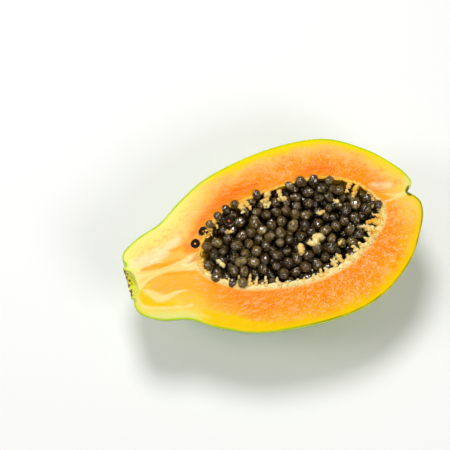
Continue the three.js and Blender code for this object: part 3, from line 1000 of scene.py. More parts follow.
def assemble_half():
    points, faces, slots, start = [], [], [], 0
    values = {name: [] for name in [*face_values, "station"]}
    for grid, slot in ((skin, SKIN_SLOT), (face, FLESH_SLOT), (wall, FLESH_SLOT)):
        rows, columns = grid.shape[:2]
        count = rows * columns
        made = grid_faces(rows, columns, start)
        if grid is face:
            loop = np.arange(columns)
            last = (rows - 1) * columns
            closing = np.stack([last + loop[:-1], loop[:-1], loop[1:], last + loop[1:]], -1) + start
            made = np.concatenate([made, closing])
        points.append(grid.reshape(-1, 3))
        faces.append(made)
        slots += [slot] * len(made)
        for name in values:
            width = (count, 3) if name == "flow" else (count,)
            own = face_values.get(name) if grid is face else None
            values[name].append(own if own is not None else np.zeros(width))
        if grid is skin:
            values["station"][-1] = (skin_t * STATIONS).ravel()
        start += count
    whole = {name: np.concatenate(value) for name, value in values.items()}
    return weld(np.concatenate(points), np.concatenate(faces), whole, slots)


points, faces, values, slots = assemble_half()
half = make_piece("papaya_half_fine", points, faces, values, slots, (flesh_material, skin_material))
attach(half, "root")
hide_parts("papaya_half")

# %% [markdown]
# ## The placenta
#
# The cavity is lined with the placenta, a soft spongy tissue that the seeds hung on. On the near side it
# is cream and some one and a half millimetres thick, and on the far side thin and golden. It is a thin
# closed shell along the wall, shaped by the same formula as its solid, but a little thinner on the near
# side, because torn crumbs lie on it there. At the cut it grows out of the flesh without a gap.

# %% Lining of the cavity
GAP, GAP_CLOSES, ROOT_DEPTH = 0.3, 0.06, 0.05
LINING_FAR, LINING_NEAR = 0.9, 1.5
TEETH = 21
TOOTH_FAR, TOOTH_NEAR, TOOTH_FADE = 0.9, 1.3, 0.35
SHORTEST_TOOTH, LEFT_AT_ENDS = 0.35, 0.5
TOOTH_DRAW = 3
LINING_ROWS, LINING_COLUMNS = 300, 70
TOP_STEPS = 6
TOP_LEVEL, CROWN, CROWN_BUMPS = 0.3, 0.25, 0.35


def random_source(seed):
    """The small seeded generator that the solids use, so that both draw the same numbers."""
    state = seed

    def draw():
        nonlocal state
        state = (state + 0x6D2B79F5) & 0xFFFFFFFF
        value = ((state ^ (state >> 15)) * (1 | state)) & 0xFFFFFFFF
        value = ((value + (((value ^ (value >> 7)) * (61 | value)) & 0xFFFFFFFF)) ^ value) & 0xFFFFFFFF
        return (value ^ (value >> 14)) / 4294967296

    return draw


tooth_draw = random_source(TOOTH_DRAW)
TOOTH_LENGTHS = np.array([SHORTEST_TOOTH + (1 - SHORTEST_TOOTH) * tooth_draw() for _ in range(TEETH + 1)])


def near_share(angle):
    """0 on the far side of the cut, 1 on the near side."""
    return (1 - np.cos(angle)) / 2


def lining_thickness(t, angle):
    nearness = near_share(angle)
    below_rim = np.minimum(angle, math.pi - angle)
    place = t * TEETH + np.where(nearness > 0.5, 0.5, 0.0)
    tooth = np.sin(math.pi * (place % 1)) * TOOTH_LENGTHS[np.minimum(place.astype(int), TEETH)]
    reach = TOOTH_FAR + (TOOTH_NEAR - TOOTH_FAR) * nearness
    at_ends = 1 + (LEFT_AT_ENDS - 1) * end_share(t)
    rim = tooth * reach * at_ends * np.exp(-below_rim / TOOTH_FADE)
    return rim + LINING_FAR + (LINING_NEAR - LINING_FAR) * nearness


def gap_below_rim(angle):
    """The gap to the wall, which closes at the cut, where the lining grows out of the flesh."""
    return GAP * (1 - np.exp(-np.minimum(angle, math.pi - angle) / GAP_CLOSES)) - ROOT_DEPTH


def lining_points(t, angle, inset):
    points = body_points(CAVITY_OUTLINE, t, angle, CAVITY_AXIS_Y, CAVITY_LOBE, inset)
    points[..., 2] -= TOP_LEVEL
    return points


def lining_shell():
    """The lining as one grid: down the wall, under the cut edge, back up inside and over its top."""
    t_row = even_steps(CAVITY_OUTLINE, LINING_ROWS)
    angle = np.linspace(0, math.pi, LINING_COLUMNS + 1)
    t, a = np.meshgrid(t_row, angle, indexing="ij")
    outer = lining_points(t, a, gap_below_rim(a))
    inner = lining_points(t, a, GAP + lining_thickness(t, a))[:, ::-1]
    across = np.linspace(0, 1, TOP_STEPS + 1)[None, 1:-1, None]
    near_top = outer[:, -1:] * (1 - across) + inner[:, :1] * across
    far_top = inner[:, -1:] * (1 - across) + outer[:, :1] * across
    crown = np.sin(math.pi * across[..., 0])
    for top in (near_top, far_top):
        bumps = noise_at(top.reshape(-1, 3), 0.9, 11.0, 2).reshape(top.shape[:2])
        top[..., 2] += crown * (CROWN + CROWN_BUMPS * bumps)
    ring = np.concatenate([outer, near_top, inner, far_top, outer[:, :1]], axis=1)
    a_ring = np.concatenate([
        a, np.full(near_top.shape[:2], math.pi), a[:, ::-1], np.zeros(far_top.shape[:2]), a[:, :1],
    ], axis=1)
    t_ring = np.repeat(t_row[:, None], ring.shape[1], axis=1)
    return ring, t_ring, a_ring


lining_ring, lining_t, lining_angle = lining_shell()
print("lining: thinnest, mm:", round(float(lining_thickness(lining_t, lining_angle).min()), 2))

# %% [markdown]
# ## Crumbs of torn placenta
#
# The knife tore the spongy tissue, so its edge is ragged: small pale crumbs stand close together along the
# near side and at the blossom end, and golden ones on the far side. Here and there a torn prong reaches in
# between the seeds. Each crumb is a closed ball of points, stretched, turned and made lumpy by noise. Some
# twelve hundred of them, crowded at the wall and sparser towards the seeds, give a torn edge that no
# single smooth surface would.

# %% Where the placenta is torn
CRUMB_DRAW = 21
CRUMB_RUNS = [
    # side angle, from t, to t, count, reach, smallest and largest, paleness
    (math.pi, 0.13, 0.97, 360, 2.1, (0.4, 0.85), 1.0),
    (math.pi, 0.62, 0.99, 130, 3.6, (0.4, 0.8), 0.8),
    (0.0, 0.86, 0.995, 90, 4.0, (0.4, 0.8), 0.55),
    (0.0, 0.10, 0.50, 110, 1.7, (0.3, 0.7), 0.1),
    (0.0, 0.45, 0.88, 150, 0.9, (0.35, 0.6), 0.5),
    (0.0, 0.0, 0.30, 90, 3.4, (0.35, 0.8), 0.25),
    (math.pi, 0.0, 0.14, 80, 3.0, (0.35, 0.8), 0.35),
]
# Prongs that reach in between the seeds: foot, tip, half width and paleness.
PRONGS = [
    ((130.9, -13.3), (126.0, -9.9), 1.4, 0.9),
    ((134.8, -10.1), (129.7, -8.9), 1.5, 0.15),
    ((131.2, -18.6), (128.2, -14.7), 1.4, 0.6),
    ((137.8, -8.8), (133.6, -5.6), 1.2, 0.4),
    ((136.4, -12.3), (132.7, -8.6), 1.3, 0.15),
    ((133.8, -16.4), (130.4, -13.4), 1.2, 0.3),
    ((128.2, -20.3), (125.4, -16.6), 1.3, 0.7),
    ((124.6, -22.3), (122.3, -18.6), 1.5, 0.9),
    ((121.1, -23.6), (118.2, -19.3), 1.6, 0.95),
    ((115.2, -25.4), (113.6, -22.4), 1.4, 0.8),
    ((110.9, -25.8), (109.1, -20.1), 1.5, 0.5),
    ((106.4, -26.0), (105.0, -22.2), 1.2, 0.9),
    ((101.8, -27.9), (100.4, -24.8), 1.1, 0.9),
    ((97.8, -28.7), (98.0, -24.9), 1.1, 0.6),
    ((92.2, -29.1), (94.2, -26.4), 0.9, 0.9),
    ((87.6, -29.2), (88.6, -26.8), 0.9, 0.9),
    ((83.2, -29.4), (85.4, -26.2), 0.9, 0.9),
    ((79.2, -28.4), (79.8, -25.4), 1.0, 0.95),
    ((75.2, -27.2), (75.3, -22.2), 1.1, 1.0),
    ((68.3, -24.9), (70.0, -19.9), 1.1, 0.85),
    ((62.9, -23.1), (65.6, -18.4), 0.9, 0.9),
    ((60.4, -22.2), (62.5, -16.2), 1.1, 0.6),
    ((54.7, -19.7), (56.9, -14.8), 0.8, 0.7),
    ((50.9, -17.9), (51.6, -14.2), 0.9, 0.9),
    ((128.4, 14.5), (124.6, 10.0), 1.2, 0.2),
    ((131.0, 10.8), (126.9, 7.0), 1.4, 0.1),
    ((86.1, 24.3), (81.3, 16.7), 1.6, 0.6),
    ((91.1, 22.6), (91.8, 16.6), 1.2, 0.6),
    ((73.2, 22.3), (73.8, 17.5), 1.4, 0.4),
    ((70.4, 22.1), (69.8, 17.1), 1.4, 0.7),
    ((53.7, 16.9), (54.6, 13.1), 1.1, 0.3),
]
PRONG_STEP = 0.9
print("runs of crumbs:", len(CRUMB_RUNS), "prongs:", len(PRONGS))

# %% Crumbs and prongs
EDGE_CRUMB = {"rows": 8, "columns": 10, "lumps": 0.4}
PRONG_CRUMB = {"rows": 9, "columns": 12, "lumps": 0.3}
CRUMB_STRETCH = ((0.9, 1.7), (0.7, 1.1), (0.7, 1.0))
PALENESS_SPREAD = 0.18


def ball(rows, columns):
    """Unit ball as a grid from pole to pole along x, closed by its poles: points and faces."""
    polar = math.pi * np.arange(1, rows) / rows
    turn = 2 * math.pi * np.arange(columns) / columns
    p, v = np.meshgrid(polar, turn, indexing="ij")
    middle = np.stack([-np.cos(p), np.sin(p) * np.cos(v), np.sin(p) * np.sin(v)], -1).reshape(-1, 3)
    points = np.concatenate([[[-1.0, 0, 0]], middle, [[1.0, 0, 0]]])
    faces = []
    for j in range(columns):
        following = (j + 1) % columns
        faces.append([0, 1 + following, 1 + j])
        for i in range(rows - 2):
            low, high = 1 + i * columns, 1 + (i + 1) * columns
            faces.append([low + j, low + following, high + following, high + j])
        last = 1 + (rows - 2) * columns
        faces.append([last + j, last + following, len(points) - 1])
    return points, faces


def random_turn(rng):
    """A random rotation matrix."""
    w, x, y, z = unit(rng.normal(size=4))
    return np.array([
        [1 - 2 * (y * y + z * z), 2 * (x * y - z * w), 2 * (x * z + y * w)],
        [2 * (x * y + z * w), 1 - 2 * (x * x + z * z), 2 * (y * z - x * w)],
        [2 * (x * z - y * w), 2 * (y * z + x * w), 1 - 2 * (x * x + y * y)],
    ])


def crumb(rng, centre, size, rows, columns, lumps):
    """A lumpy ball of points round a centre, size millimetres in half width."""
    points, faces = ball(rows, columns)
    lumpy = 1 + lumps * noise_at(points, 0.8, rng.uniform(0, 50), 2)
    stretch = size * np.array([rng.uniform(*limits) for limits in CRUMB_STRETCH])
    return (points * lumpy[:, None] * stretch) @ random_turn(rng).T + centre, faces


def raggedness(t, side):
    """Two waves along the rim, so that the tissue is torn further in some places than in others."""
    return 0.55 + 0.9 * abs(math.sin(37 * t + 5 * side) * math.sin(71 * t + 1.3))


def torn_edge():
    """Crumbs along the rim of the cavity, with the paleness of each. Those further in lie deeper."""
    rng = np.random.default_rng(CRUMB_DRAW)
    crumbs, paleness = [], []
    for side, start, end, count, reach, sizes, pale in CRUMB_RUNS:
        for k in range(count):
            t = start + (end - start) * (k + rng.uniform(-0.5, 1.5)) / count
            away = 0.1 + reach * raggedness(t, side) * rng.uniform(0, 1) ** 1.7
            t_on_rim, angle = np.array([min(max(t, 0), 1)]), np.array([side])
            place = body_points(CAVITY_OUTLINE, t_on_rim, angle, CAVITY_AXIS_Y, inset=away)[0]
            size = rng.uniform(*sizes)
            place[2] = -0.25 - 0.35 * away + rng.uniform(-0.5, 0.25) - 0.4 * size
            crumbs.append(crumb(rng, place, size, **EDGE_CRUMB))
            paleness.append(np.clip(pale + rng.normal(0, PALENESS_SPREAD), 0, 1))
    return crumbs, paleness


def prong_crumbs():
    """Crumbs from the foot to the tip of each prong, broad at the foot and smaller and paler at the tip."""
    rng = np.random.default_rng(CRUMB_DRAW + 1)
    crumbs, paleness = [], []
    for foot, tip, width, pale in PRONGS:
        foot, tip = np.array([*foot, -0.7]), np.array([*tip, 0.0])
        steps = math.ceil(np.linalg.norm(tip - foot) / PRONG_STEP)
        for k in range(steps + 1):
            along = k / steps
            breadth = width * (1.1 - 0.5 * along)
            place = foot + (tip - foot) * (0.1 + 0.9 * along) + rng.uniform(-0.4, 0.4, 3) * breadth
            crumbs.append(crumb(rng, place, breadth * rng.uniform(0.7, 1.1), **PRONG_CRUMB))
            paleness.append(np.clip(pale * (0.75 + 0.35 * along) + rng.normal(0, 0.15), 0, 1))
    return crumbs, paleness


def join(parts):
    """Points, faces and part numbers of several meshes in one."""
    points, faces, owner, start = [], [], [], 0
    for number, (own_points, own_faces) in enumerate(parts):
        points.append(own_points)
        faces += [[c + start for c in face] for face in own_faces]
        owner.append(np.full(len(own_points), number))
        start += len(own_points)
    return np.concatenate(points), faces, np.concatenate(owner)


edge_crumbs, edge_paleness = torn_edge()
prongs, prong_paleness = prong_crumbs()
edge_crumbs, edge_paleness = edge_crumbs + prongs, edge_paleness + prong_paleness
print("crumbs along the rim:", len(edge_crumbs))

# %% [markdown]
# ## The pile of seeds
#
# Several hundred seeds lie in the cavity in a loose pile. Places drawn at random would overlap, and a
# rigid-body simulation is slow, so the pile settles by a simple rule. Each seed starts on a shaken
# lattice, every two that are too close push each other apart, and the wall of the lining and a bumpy
# ceiling push them back. After a few dozen rounds they lie close, without order, as real ones do. The
# seeds that the knife cut through and those that lie on the rim stay where they are, and the others make
# way for them and for the prongs of the lining.

# %% Rules of the pile
PILE_DRAW = 5
SEED_ROOM = 2.95
ROOM_SPREAD = (0.84, 1.1)
PILE_DEPTH = 15.0
LATTICE_BOX = ((36, 144), (-32, 28), (-2, -PILE_DEPTH))
LATTICE = (6.2, 5.5, -4.8)
LATTICE_SHAKE = 3.8
WALL_ROOM = 1.2
SETTLE_ROUNDS, PUSH = 70, 0.4
CEILING = -1.5
CEILING_SPREAD = 1.7
HEAP = {"at": (62.0, -4.0), "radius": 24.0, "height": 0.9}
PIT = {"at": (112.0, 7.0), "radius": 13.0, "height": -2.6}
HOLES = [(103.3, -1.7), (117.7, -8.2), (125.4, 13.8), (108.8, -1.8)]
HOLE_RADIUS, HOLE_DEPTH = 3.0, 3.4
CUT_SEEDS = np.array([(40.6, 9.0, -0.9), (46.7, 13.9, -0.8), (61.3, 14.9, -0.6)])
RIM_SEEDS = np.array([
    (51.6, 16.6, -0.5), (56.7, 19.0, 0.0), (61.8, 21.4, -0.4), (66.9, 22.6, 0.1), (79.6, 24.0, 0.2),
    (97.5, 23.2, -0.6), (104.0, 23.0, -0.2), (110.6, 21.8, -0.4), (118.3, 18.8, 0.0), (133.6, 3.6, -0.2),
    (138.4, -1.6, -0.4), (45.6, -11.4, -0.3), (52.5, -17.0, -0.4), (57.6, -18.6, 0.0),
])
PRONG_ROOM, PRONG_LEVEL = 1.5, -0.4
HIGHEST_SEED = 0.45


def ceiling_at(places):
    """How high a seed may lie: lower in the pit and in the holes, higher in the heap."""
    level = np.full(len(places), CEILING)
    for bump in (HEAP, PIT):
        far = np.hypot(places[:, 0] - bump["at"][0], places[:, 1] - bump["at"][1])
        level += bump["height"] * np.exp(-((far / bump["radius"]) ** 2))
    for x, y in HOLES:
        far = np.hypot(places[:, 0] - x, places[:, 1] - y)
        level -= HOLE_DEPTH * np.exp(-((far / HOLE_RADIUS) ** 2))
    return level


print("seeds with a place of their own:", len(CUT_SEEDS) + len(RIM_SEEDS))


# %% Settle the pile
def wall_samples():
    """Points on the lining's inner face, with directions into the cavity."""
    t, a = np.meshgrid(np.linspace(0.004, 0.996, 170), np.linspace(0, math.pi, 81), indexing="ij")
    here = body_points(CAVITY_OUTLINE, t, a, CAVITY_AXIS_Y, CAVITY_LOBE, GAP + lining_thickness(t, a) * 0.6)
    inward = np.cross(np.gradient(here, axis=0), np.gradient(here, axis=1)).reshape(-1, 3)
    here = here.reshape(-1, 3)
    inward /= np.linalg.norm(inward, axis=1, keepdims=True) + 1e-12
    centre = np.array([90.0, CAVITY_AXIS_Y, 0.0])
    inward[((here - centre) * inward).sum(1) > 0] *= -1
    return here, inward


def depth_in(place, tree, inward):
    """How far a place is inside the lining, and the direction inwards there."""
    nearest, index, _ = tree.find(place)
    return float(np.dot(place - np.array(nearest), inward[index])), inward[index]


def shaken_lattice(rng):
    """Places in rows that are shifted against each other, each then moved a little by chance."""
    steps = [np.arange(*limits, step) for limits, step in zip(LATTICE_BOX, LATTICE)]
    places = np.stack(np.meshgrid(*steps, indexing="ij"), -1)
    places[:, 1::2, :, 0] += LATTICE[0] / 2
    places[:, :, 1::2, 1] += LATTICE[1] / 2
    places = places.reshape(-1, 3)
    return places + rng.uniform(-0.5, 0.5, places.shape) * LATTICE_SHAKE


def along_prongs():
    """Two places on each prong that the seeds keep away from."""
    middles = []
    for foot, tip, _, _ in PRONGS:
        for share in (0.5, 0.9):
            middles.append((*(np.array(foot) * (1 - share) + np.array(tip) * share), PRONG_LEVEL))
    return middles


def settle_pile():
    """Places of the seeds and the room that each takes up."""
    rng = np.random.default_rng(PILE_DRAW)
    wall_points, inward = wall_samples()
    tree = KDTree(len(wall_points))
    for k, point in enumerate(wall_points):
        tree.insert(point, k)
    tree.balance()
    places = shaken_lattice(rng)
    places = places[[depth_in(place, tree, inward)[0] > WALL_ROOM for place in places]]
    fixed = np.concatenate([CUT_SEEDS, RIM_SEEDS, along_prongs()])
    seeds_fixed = len(CUT_SEEDS) + len(RIM_SEEDS)
    places = np.concatenate([fixed, places])
    room = SEED_ROOM * rng.uniform(*ROOM_SPREAD, len(places))
    room[seeds_fixed:len(fixed)] = PRONG_ROOM
    own_level = np.minimum(rng.normal(0, CEILING_SPREAD, len(places)), HIGHEST_SEED - CEILING)
    for _ in range(SETTLE_ROUNDS):
        gap = places[:, None] - places[None]
        far = np.sqrt((gap ** 2).sum(-1)) + np.eye(len(places)) * 1e3
        lack = np.clip(room[:, None] + room[None] - far, 0, None)
        places += PUSH * (gap / far[..., None] * lack[..., None]).sum(1)
        places[:, 2] = np.minimum(places[:, 2], ceiling_at(places) + own_level)
        for k in range(len(fixed), len(places)):
            depth, direction = depth_in(places[k], tree, inward)
            if depth < room[k] * 0.9:
                places[k] += (room[k] * 0.9 - depth) * direction
        places[:len(fixed)] = fixed
    kept = np.r_[0:seeds_fixed, len(fixed):len(places)]
    return places[kept], room[kept]


pile, pile_room = settle_pile()
print("seeds in the pile:", len(pile))

# %% [markdown]
# ## One seed
#
# A seed is an egg about six and a half millimetres long, under a thin glossy gel coat that shows the
# wrinkled ridges of the seed inside. It is a ball of points, pinched to an egg. Waves around it make the
# ridges, and noise breaks and dents them. Fourteen variants are enough: turned at random, no two look
# alike. Each point keeps its ridge height and its place on the seed itself, so that the finish follows
# every seed. The seeds deeper in the pile are hardly seen, so their meshes are coarser.

# %% Seed variants
SEED_LENGTH, SEED_WIDTH = 6.7, 5.5
EGG_TAPER = 0.16
RIDGES = 8
RIDGE_HEIGHT = 0.34
RIDGE_MIDDLE = 0.75
# Dents from broad to fine: depth and size, as shares of the half width, and octaves of noise.
SEED_DENTS = [(0.08, 0.8, 2), (0.045, 0.36, 1), (0.03, 0.2, 1)]
VARIANTS = 14
FINE_SEED, COARSE_SEED = (26, 44), (10, 16)
LOW_LAYER = 6.4


def seed_variant(number, rows, columns):
    """Points, faces and ridge heights of one seed, pointed at one end and wrinkled lengthwise."""
    points, faces = ball(rows, columns)
    around = np.arctan2(points[:, 2], points[:, 1])
    wander = noise_at(points + 20 * number, 0.7, 3.0 + number, 2)
    wave = 0.5 + 0.5 * np.sin(RIDGES * around + 5.0 * wander + number)
    broken = np.clip(0.6 + 0.9 * noise_at(points * (0.8, 1, 1) + 9 * number, 0.3, number, 2), 0, 1)
    waist = np.sqrt(points[:, 1] ** 2 + points[:, 2] ** 2)
    ridge = wave ** 1.6 * broken * smooth_step(waist, 0.05, 0.5)
    shaped = points * np.array([SEED_LENGTH / 2, SEED_WIDTH / 2, SEED_WIDTH / 2])
    shaped[:, 1:] *= (1 + EGG_TAPER * points[:, 0])[:, None]
    dented = np.ones(len(points))
    for k, (depth, size, octaves) in enumerate(SEED_DENTS):
        dented += depth * noise_at(points, size, 50.0 + 20 * k + number, octaves)
    rise = (ridge - RIDGE_MIDDLE) * RIDGE_HEIGHT
    return shaped * dented[:, None] + points * rise[:, None], faces, ridge


fine_variants = [seed_variant(k, *FINE_SEED) for k in range(VARIANTS)]
coarse_variants = [seed_variant(k, *COARSE_SEED) for k in range(VARIANTS)]
in_view = pile[:, 2] > ceiling_at(pile) - LOW_LAYER
upper, lower = np.flatnonzero(in_view), np.flatnonzero(~in_view)
print("seeds in view:", len(upper), "below them:", len(lower))

# %% Place and cut the seeds
SEED_DRAW = 1000
SEED_SHAPES = ((0.94, 1.1), (0.92, 1.03), (0.92, 1.03))
CUT_AT, CUT_SIZE, HEART_DIP = 0.9, 0.98, 0.12
HEART_RADIUS, KERNEL_RADIUS = 0.55, 2.5
SHADE_DEPTH, DEEPEST_SHADE = (2.5, 7.0), 0.96
TONE_STEP = 0.618
OWN_STEP, OWN_PLACES = 31.0, 97


def place_seed(number, variant):
    """Points of one seed of the pile in its place, and on a cut seed how close each is to its heart."""
    rng = np.random.default_rng(SEED_DRAW + number)
    size = CUT_SIZE if number < len(CUT_SEEDS) else pile_room[number] / SEED_ROOM
    slim = np.array([rng.uniform(*limits) for limits in SEED_SHAPES])
    placed = (variant[0] * size * slim) @ random_turn(rng).T + pile[number]
    heart = np.zeros(len(placed))
    if number < len(CUT_SEEDS):
        level = pile[number][2] + CUT_AT
        over = placed[:, 2] > level
        within = np.hypot(*(placed[:, :2] - pile[number][:2]).T)
        heart[over] = 2 - smooth_step(within[over], 0.6 * HEART_RADIUS, 1.4 * HEART_RADIUS)
        heart[over] -= smooth_step(within[over], 0.8 * KERNEL_RADIUS, 1.1 * KERNEL_RADIUS)
        placed[over, 2] = level - HEART_DIP * heart[over]
    return placed, heart


def build_seeds(numbers, variants):
    """One mesh of several seeds, with the values that their finish reads."""
    points, faces, start = [], [], 0
    values = {"ridge": [], "tone": [], "heart": [], "painted_shade": [], "own_place": []}
    for k in numbers:
        variant = variants[k % len(variants)]
        placed, heart = place_seed(k, variant)
        points.append(placed)
        faces += [[c + start for c in face] for face in variant[1]]
        values["ridge"].append(variant[2])
        values["heart"].append(heart)
        values["tone"].append(np.full(len(placed), (k * TONE_STEP) % 1))
        # Painted shade: seeds deeper in the pile are painted darker, as little light reaches them.
        values["painted_shade"].append(DEEPEST_SHADE * smooth_step(-placed[:, 2], *SHADE_DEPTH))
        values["own_place"].append((variant[0] + OWN_STEP * (k % OWN_PLACES)) * MM)
        start += len(placed)
    return np.concatenate(points), faces, {name: np.concatenate(value) for name, value in values.items()}


# %% [markdown]
# ## Finish of the seeds
#
# The seeds are dark olive-brown, and each is a little different. Their gel coat is lighter in a few olive
# patches. The ridges are painted lighter, partly the thicker gel on them and partly painted light, and long
# streaks along each seed get painted shade, as of furrows. The coat is wet, so it throws small hard
# highlights that the ridges break up. Deep in the pile little light arrives, so the seeds are painted
# darker there, as painted shade. A cut seed shows a black kernel with a small orange heart.

# %% Seed material
SEED_TONES = [
    (0.0, screen(36, 21, 3)),
    (0.5, screen(88, 59, 12)),
    (0.82, screen(122, 94, 34)),
    (1.0, screen(158, 134, 72)),
]
SEED_OLIVE = screen(148, 122, 52)
SEED_RIDGE_PAINTED_LIGHT = screen(196, 160, 84)
SEED_FURROW_PAINTED_SHADE = screen(24, 11, 2)
SEED_KERNEL = screen(40, 26, 18)
SEED_HEART = screen(222, 112, 50)
SEED_PAINTED_SHADE = screen(14, 8, 2)


def make_seed_coat():
    material, tree, shader = new_material("seed_coat")
    own = stored(tree, "own_place", "Vector")
    long_way = stretched(tree, own, (0.45, 1.0, 1.0))
    heart = stored(tree, "heart")
    colour = ramp(tree, stored(tree, "tone"), SEED_TONES)
    colour = painted(tree, colour, SEED_OLIVE, patches(tree, own, 3.4, 0.5, 0.46, 0.64), 0.5)
    # Painted light on the ridges, partly the thicker gel there, then painted shade in long streaks as of
    # furrows.
    colour = painted(tree, colour, SEED_RIDGE_PAINTED_LIGHT, scaled(tree, stored(tree, "ridge"), 0.3, 0.9, 0.0, 0.5))
    colour = painted(tree, colour, SEED_FURROW_PAINTED_SHADE, patches(tree, long_way, 0.9, 0.6, 0.46, 0.56), 0.8)
    # Painted shade deep in the pile.
    colour = painted(tree, colour, SEED_PAINTED_SHADE, stored(tree, "painted_shade"))
    colour = painted(tree, colour, SEED_KERNEL, scaled(tree, heart, 0.3, 0.7))
    dull = patches(tree, own, 2.2, 0.6, 0.4, 0.6)
    fill(tree, shader, {
        "Base Color": painted(tree, colour, SEED_HEART, scaled(tree, heart, 1.2, 1.8)),
        "Normal": wet_bump(tree, long_way, 0.9, 0.5, 0.9, 0.6),
        "Roughness": scaled(tree, dull, 0.0, 1.0, 0.4, 0.6),
        "Specular IOR Level": 0.1,
        "Coat Weight": scaled(tree, heart, 0.1, 0.6, 1.0, 0.0),
        "Coat Roughness": 0.06,
        "Coat IOR": 1.85,
    })
    return material


seed_material = make_seed_coat()
print("seed coat:", len(seed_material.node_tree.nodes), "nodes")

# %% Build the seeds
# The seeds in view are three pieces, parted at these places along the half, so that no mesh is too heavy.
SHARES = (78.0, 102.0)
third = np.digitize(pile[upper, 0], SHARES)
for name, numbers, variants in (
    ("seeds_stem_end", upper[third == 0], fine_variants),
    ("seeds_middle", upper[third == 1], fine_variants),
    ("seeds_blossom_end", upper[third == 2], fine_variants),
    ("seeds_below", lower, coarse_variants),
):
    points, faces, values = build_seeds(numbers.tolist(), variants)
    piece = make_piece(name, points, faces, values, None, (seed_material,))
    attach(piece, "root")
    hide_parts("seeds")

# %% [markdown]
# ## Scraps of placenta between the seeds
#
# Where the knife went through, torn pieces of the placenta were left on the seeds. Each is made of a few
# crumbs that lie together on the seeds below them.

# %% Scraps
SCRAP_DRAW = 31
SCRAPS = [
    # place along and across, half width, paleness
    (59.4, 9.8, 1.0, 0.5), (50.2, -4.9, 1.3, 1.0), (92.1, -11.6, 1.7, 0.75), (101.0, -9.6, 2.1, 0.95),
    (109.1, 3.8, 0.9, 0.5), (118.0, 7.1, 0.9, 0.7), (82.4, 18.4, 1.5, 0.9), (91.4, 18.2, 1.1, 0.7),
    (107.0, -22.6, 0.9, 0.9), (112.6, -14.6, 0.8, 0.4),
]
SCRAP_CRUMBS, SCRAP_SPACING = 3, 1.05
SCRAP_CRUMB = {"rows": 10, "columns": 12, "lumps": 0.4}
CLOSE_BY, SCRAP_LIFT, HIGHEST_SCRAP = 3.4, 2.3, 1.2


def scraps():
    """Crumbs in short rows, each on the highest seed close by."""
    rng = np.random.default_rng(SCRAP_DRAW)
    made = []
    for x, y, width, _ in SCRAPS:
        close = pile[np.hypot(pile[:, 0] - x, pile[:, 1] - y) < CLOSE_BY]
        level = min(close[:, 2].max() + SCRAP_LIFT, HIGHEST_SCRAP)
        heading = rng.uniform(0, math.pi)
        for k in range(SCRAP_CRUMBS):
            along = (k - (SCRAP_CRUMBS - 1) / 2) * SCRAP_SPACING * width
            place = np.array([x + along * math.cos(heading), y + along * math.sin(heading), level])
            size = width * rng.uniform(0.9, 1.2)
            made.append(crumb(rng, place + rng.uniform(-0.4, 0.4, 3), size, **SCRAP_CRUMB))
    return made


scrap_crumbs = scraps()
print("scraps:", len(SCRAPS))

# %% [markdown]
# ## Finish of the placenta
#
# The placenta is soft and almost white on the near side, and golden on the far side, where it is too thin to
# hide the flesh. Each colour lies in soft blotches with a deeper, more orange copy of itself, partly the
# flesh showing through and partly painted shade. The smooth lining and its torn fibres are two pieces with
# one finish, and the value pale, stored on both, says how much of each colour shows.

# %% Placenta material
CREAM, CREAM_SHADE = lit(255, 238, 176), lit(255, 208, 104)
GOLDEN, GOLDEN_SHADE = lit(255, 204, 66), lit(252, 166, 16)


def make_lining_finish():
    material, tree, shader = new_material("placenta_tissue")
    place = add(tree, "ShaderNodeTexCoord").outputs["Object"]
    soft = patches(tree, place, 2.2, 0.7, 0.36, 0.58)
    # Painted shade: each colour has a deeper, more orange copy in soft blotches, partly the flesh showing
    # through.
    golden = mixed(tree, soft, GOLDEN_SHADE, GOLDEN)
    cream = mixed(tree, soft, CREAM_SHADE, CREAM)
    fill(tree, shader, {
        "Base Color": mixed(tree, stored(tree, "pale"), golden, cream),
        "Normal": wet_bump(tree, place, 0.8, 0.4, 0.5, 0.3),
        "Roughness": scaled(tree, soft, 0.0, 1.0, 0.5, 0.38),
        "Specular IOR Level": 0.25,
        "Subsurface Weight": 0.15,
        "Subsurface Radius": (1.0, 0.6, 0.3),
        "Subsurface Scale": 0.2 * MM,
    })
    return material


# %% Build the placenta
def build_lining():
    """The lining's mesh with its paleness: cream on the near side, half so at the blossom end."""
    rows, columns = lining_t.shape
    nearness = smooth_step(near_share(lining_angle), 0.3, 0.75)
    at_end = smooth_step(lining_t, 0.85, 0.95)
    at_start = smooth_step(lining_t, 0.16, 0.08)
    pale = (np.maximum(nearness * (1 - 0.4 * at_end), 0.5 * at_end) * (1 - 0.7 * at_start)).ravel()
    faces = grid_faces(rows, columns)
    return weld(lining_ring.reshape(-1, 3), faces, {"pale": pale}, [0] * len(faces))


shell_points, shell_faces, shell_values, _ = build_lining()
small_points, small_faces, owner = join(edge_crumbs + scrap_crumbs)
scrap_paleness = [pale for *_, pale in SCRAPS for _ in range(SCRAP_CRUMBS)]
small_pale = np.array(edge_paleness + scrap_paleness)[owner]
lining_finish = make_lining_finish()
for name, points, faces, pale in (
    ("placenta_lining", shell_points, shell_faces, shell_values["pale"]),
    ("placenta_fibres", small_points, small_faces, small_pale),
):
    lining = make_piece(name, points, faces, {"pale": pale}, None, (lining_finish,))
    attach(lining, "root")
    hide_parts("placenta")

# %% [markdown]
# ## Floor and light
#
# A plain pale floor and even light keep the colours true. The world gives a little light from everywhere.
# Three round lamps give the rest: the key lamp from above and beyond the half, and two weaker ones from
# the left and from the near side. They are wide, so their shadows are soft, and each wet seed shows two or
# three small highlights. Each lamp is given as a tilt from straight up, a turn from the far side, a
# diameter, and the brightness that it adds on a level white surface.

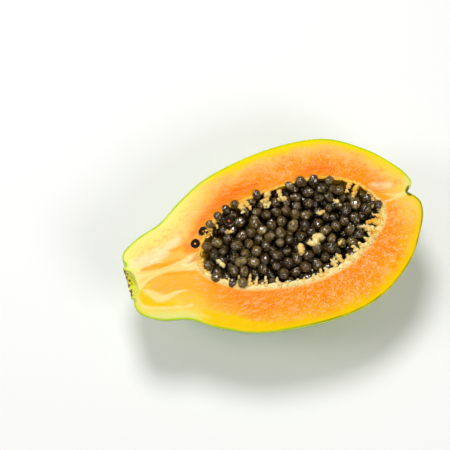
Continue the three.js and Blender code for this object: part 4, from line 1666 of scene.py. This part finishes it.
# %% Floor, world and lamps
FLOOR_SIZE = 6.0
WORLD_STRENGTH = 0.21
LAMP_DISTANCE = 0.9
FLOOR_PAPER = screen(250, 250, 249)
WHITE = (1.0, 1.0, 1.0, 1.0)
LAMPS = [
    # name, tilt and turn in degrees, diameter in metres, brightness
    ("lamp_key", 27, 6, 0.30, 0.54),
    ("lamp_left", 45, -75, 0.34, 0.16),
    ("lamp_near", 45, 150, 0.45, 0.21),
]


def make_floor():
    mesh = bpy.data.meshes.new("floor")
    corner = FLOOR_SIZE / 2
    corners = [(-corner, -corner, 0), (corner, -corner, 0), (corner, corner, 0), (-corner, corner, 0)]
    mesh.from_pydata(corners, [], [(0, 1, 2, 3)])
    floor = bpy.data.objects.new("floor", mesh)
    bpy.context.collection.objects.link(floor)
    material, tree, shader = new_material("floor_paper")
    fill(tree, shader, {"Base Color": FLOOR_PAPER, "Roughness": 0.85, "Specular IOR Level": 0.2})
    mesh.materials.append(material)


def make_lamp(name, tilt, turn, diameter, brightness):
    """A round lamp whose watts are worked out from the brightness that it gives the cut face."""
    tilt, turn = math.radians(tilt), math.radians(turn)
    towards = Vector((math.sin(tilt) * math.sin(turn), math.sin(tilt) * math.cos(turn), math.cos(tilt)))
    data = bpy.data.lights.new(name, "AREA")
    data.shape = "DISK"
    data.size = diameter
    data.energy = brightness * (math.pi * LAMP_DISTANCE) ** 2 / math.cos(tilt)
    lamp = bpy.data.objects.new(name, data)
    bpy.context.collection.objects.link(lamp)
    lamp.location = Vector((0, 0, CUT_LEVEL * MM)) + LAMP_DISTANCE * towards
    lamp.rotation_euler = towards.to_track_quat("Z", "Y").to_euler()
    print(name, round(data.energy, 2), "W")


def make_world():
    scene = bpy.context.scene
    scene.view_settings.view_transform = "Standard"
    world = bpy.data.worlds.new("studio")
    scene.world = world
    world.use_nodes = True
    tree = world.node_tree
    fill(tree, tree.nodes["Background"], {"Color": WHITE, "Strength": WORLD_STRENGTH})


make_floor()
make_world()
for lamp_values in LAMPS:
    make_lamp(*lamp_values)
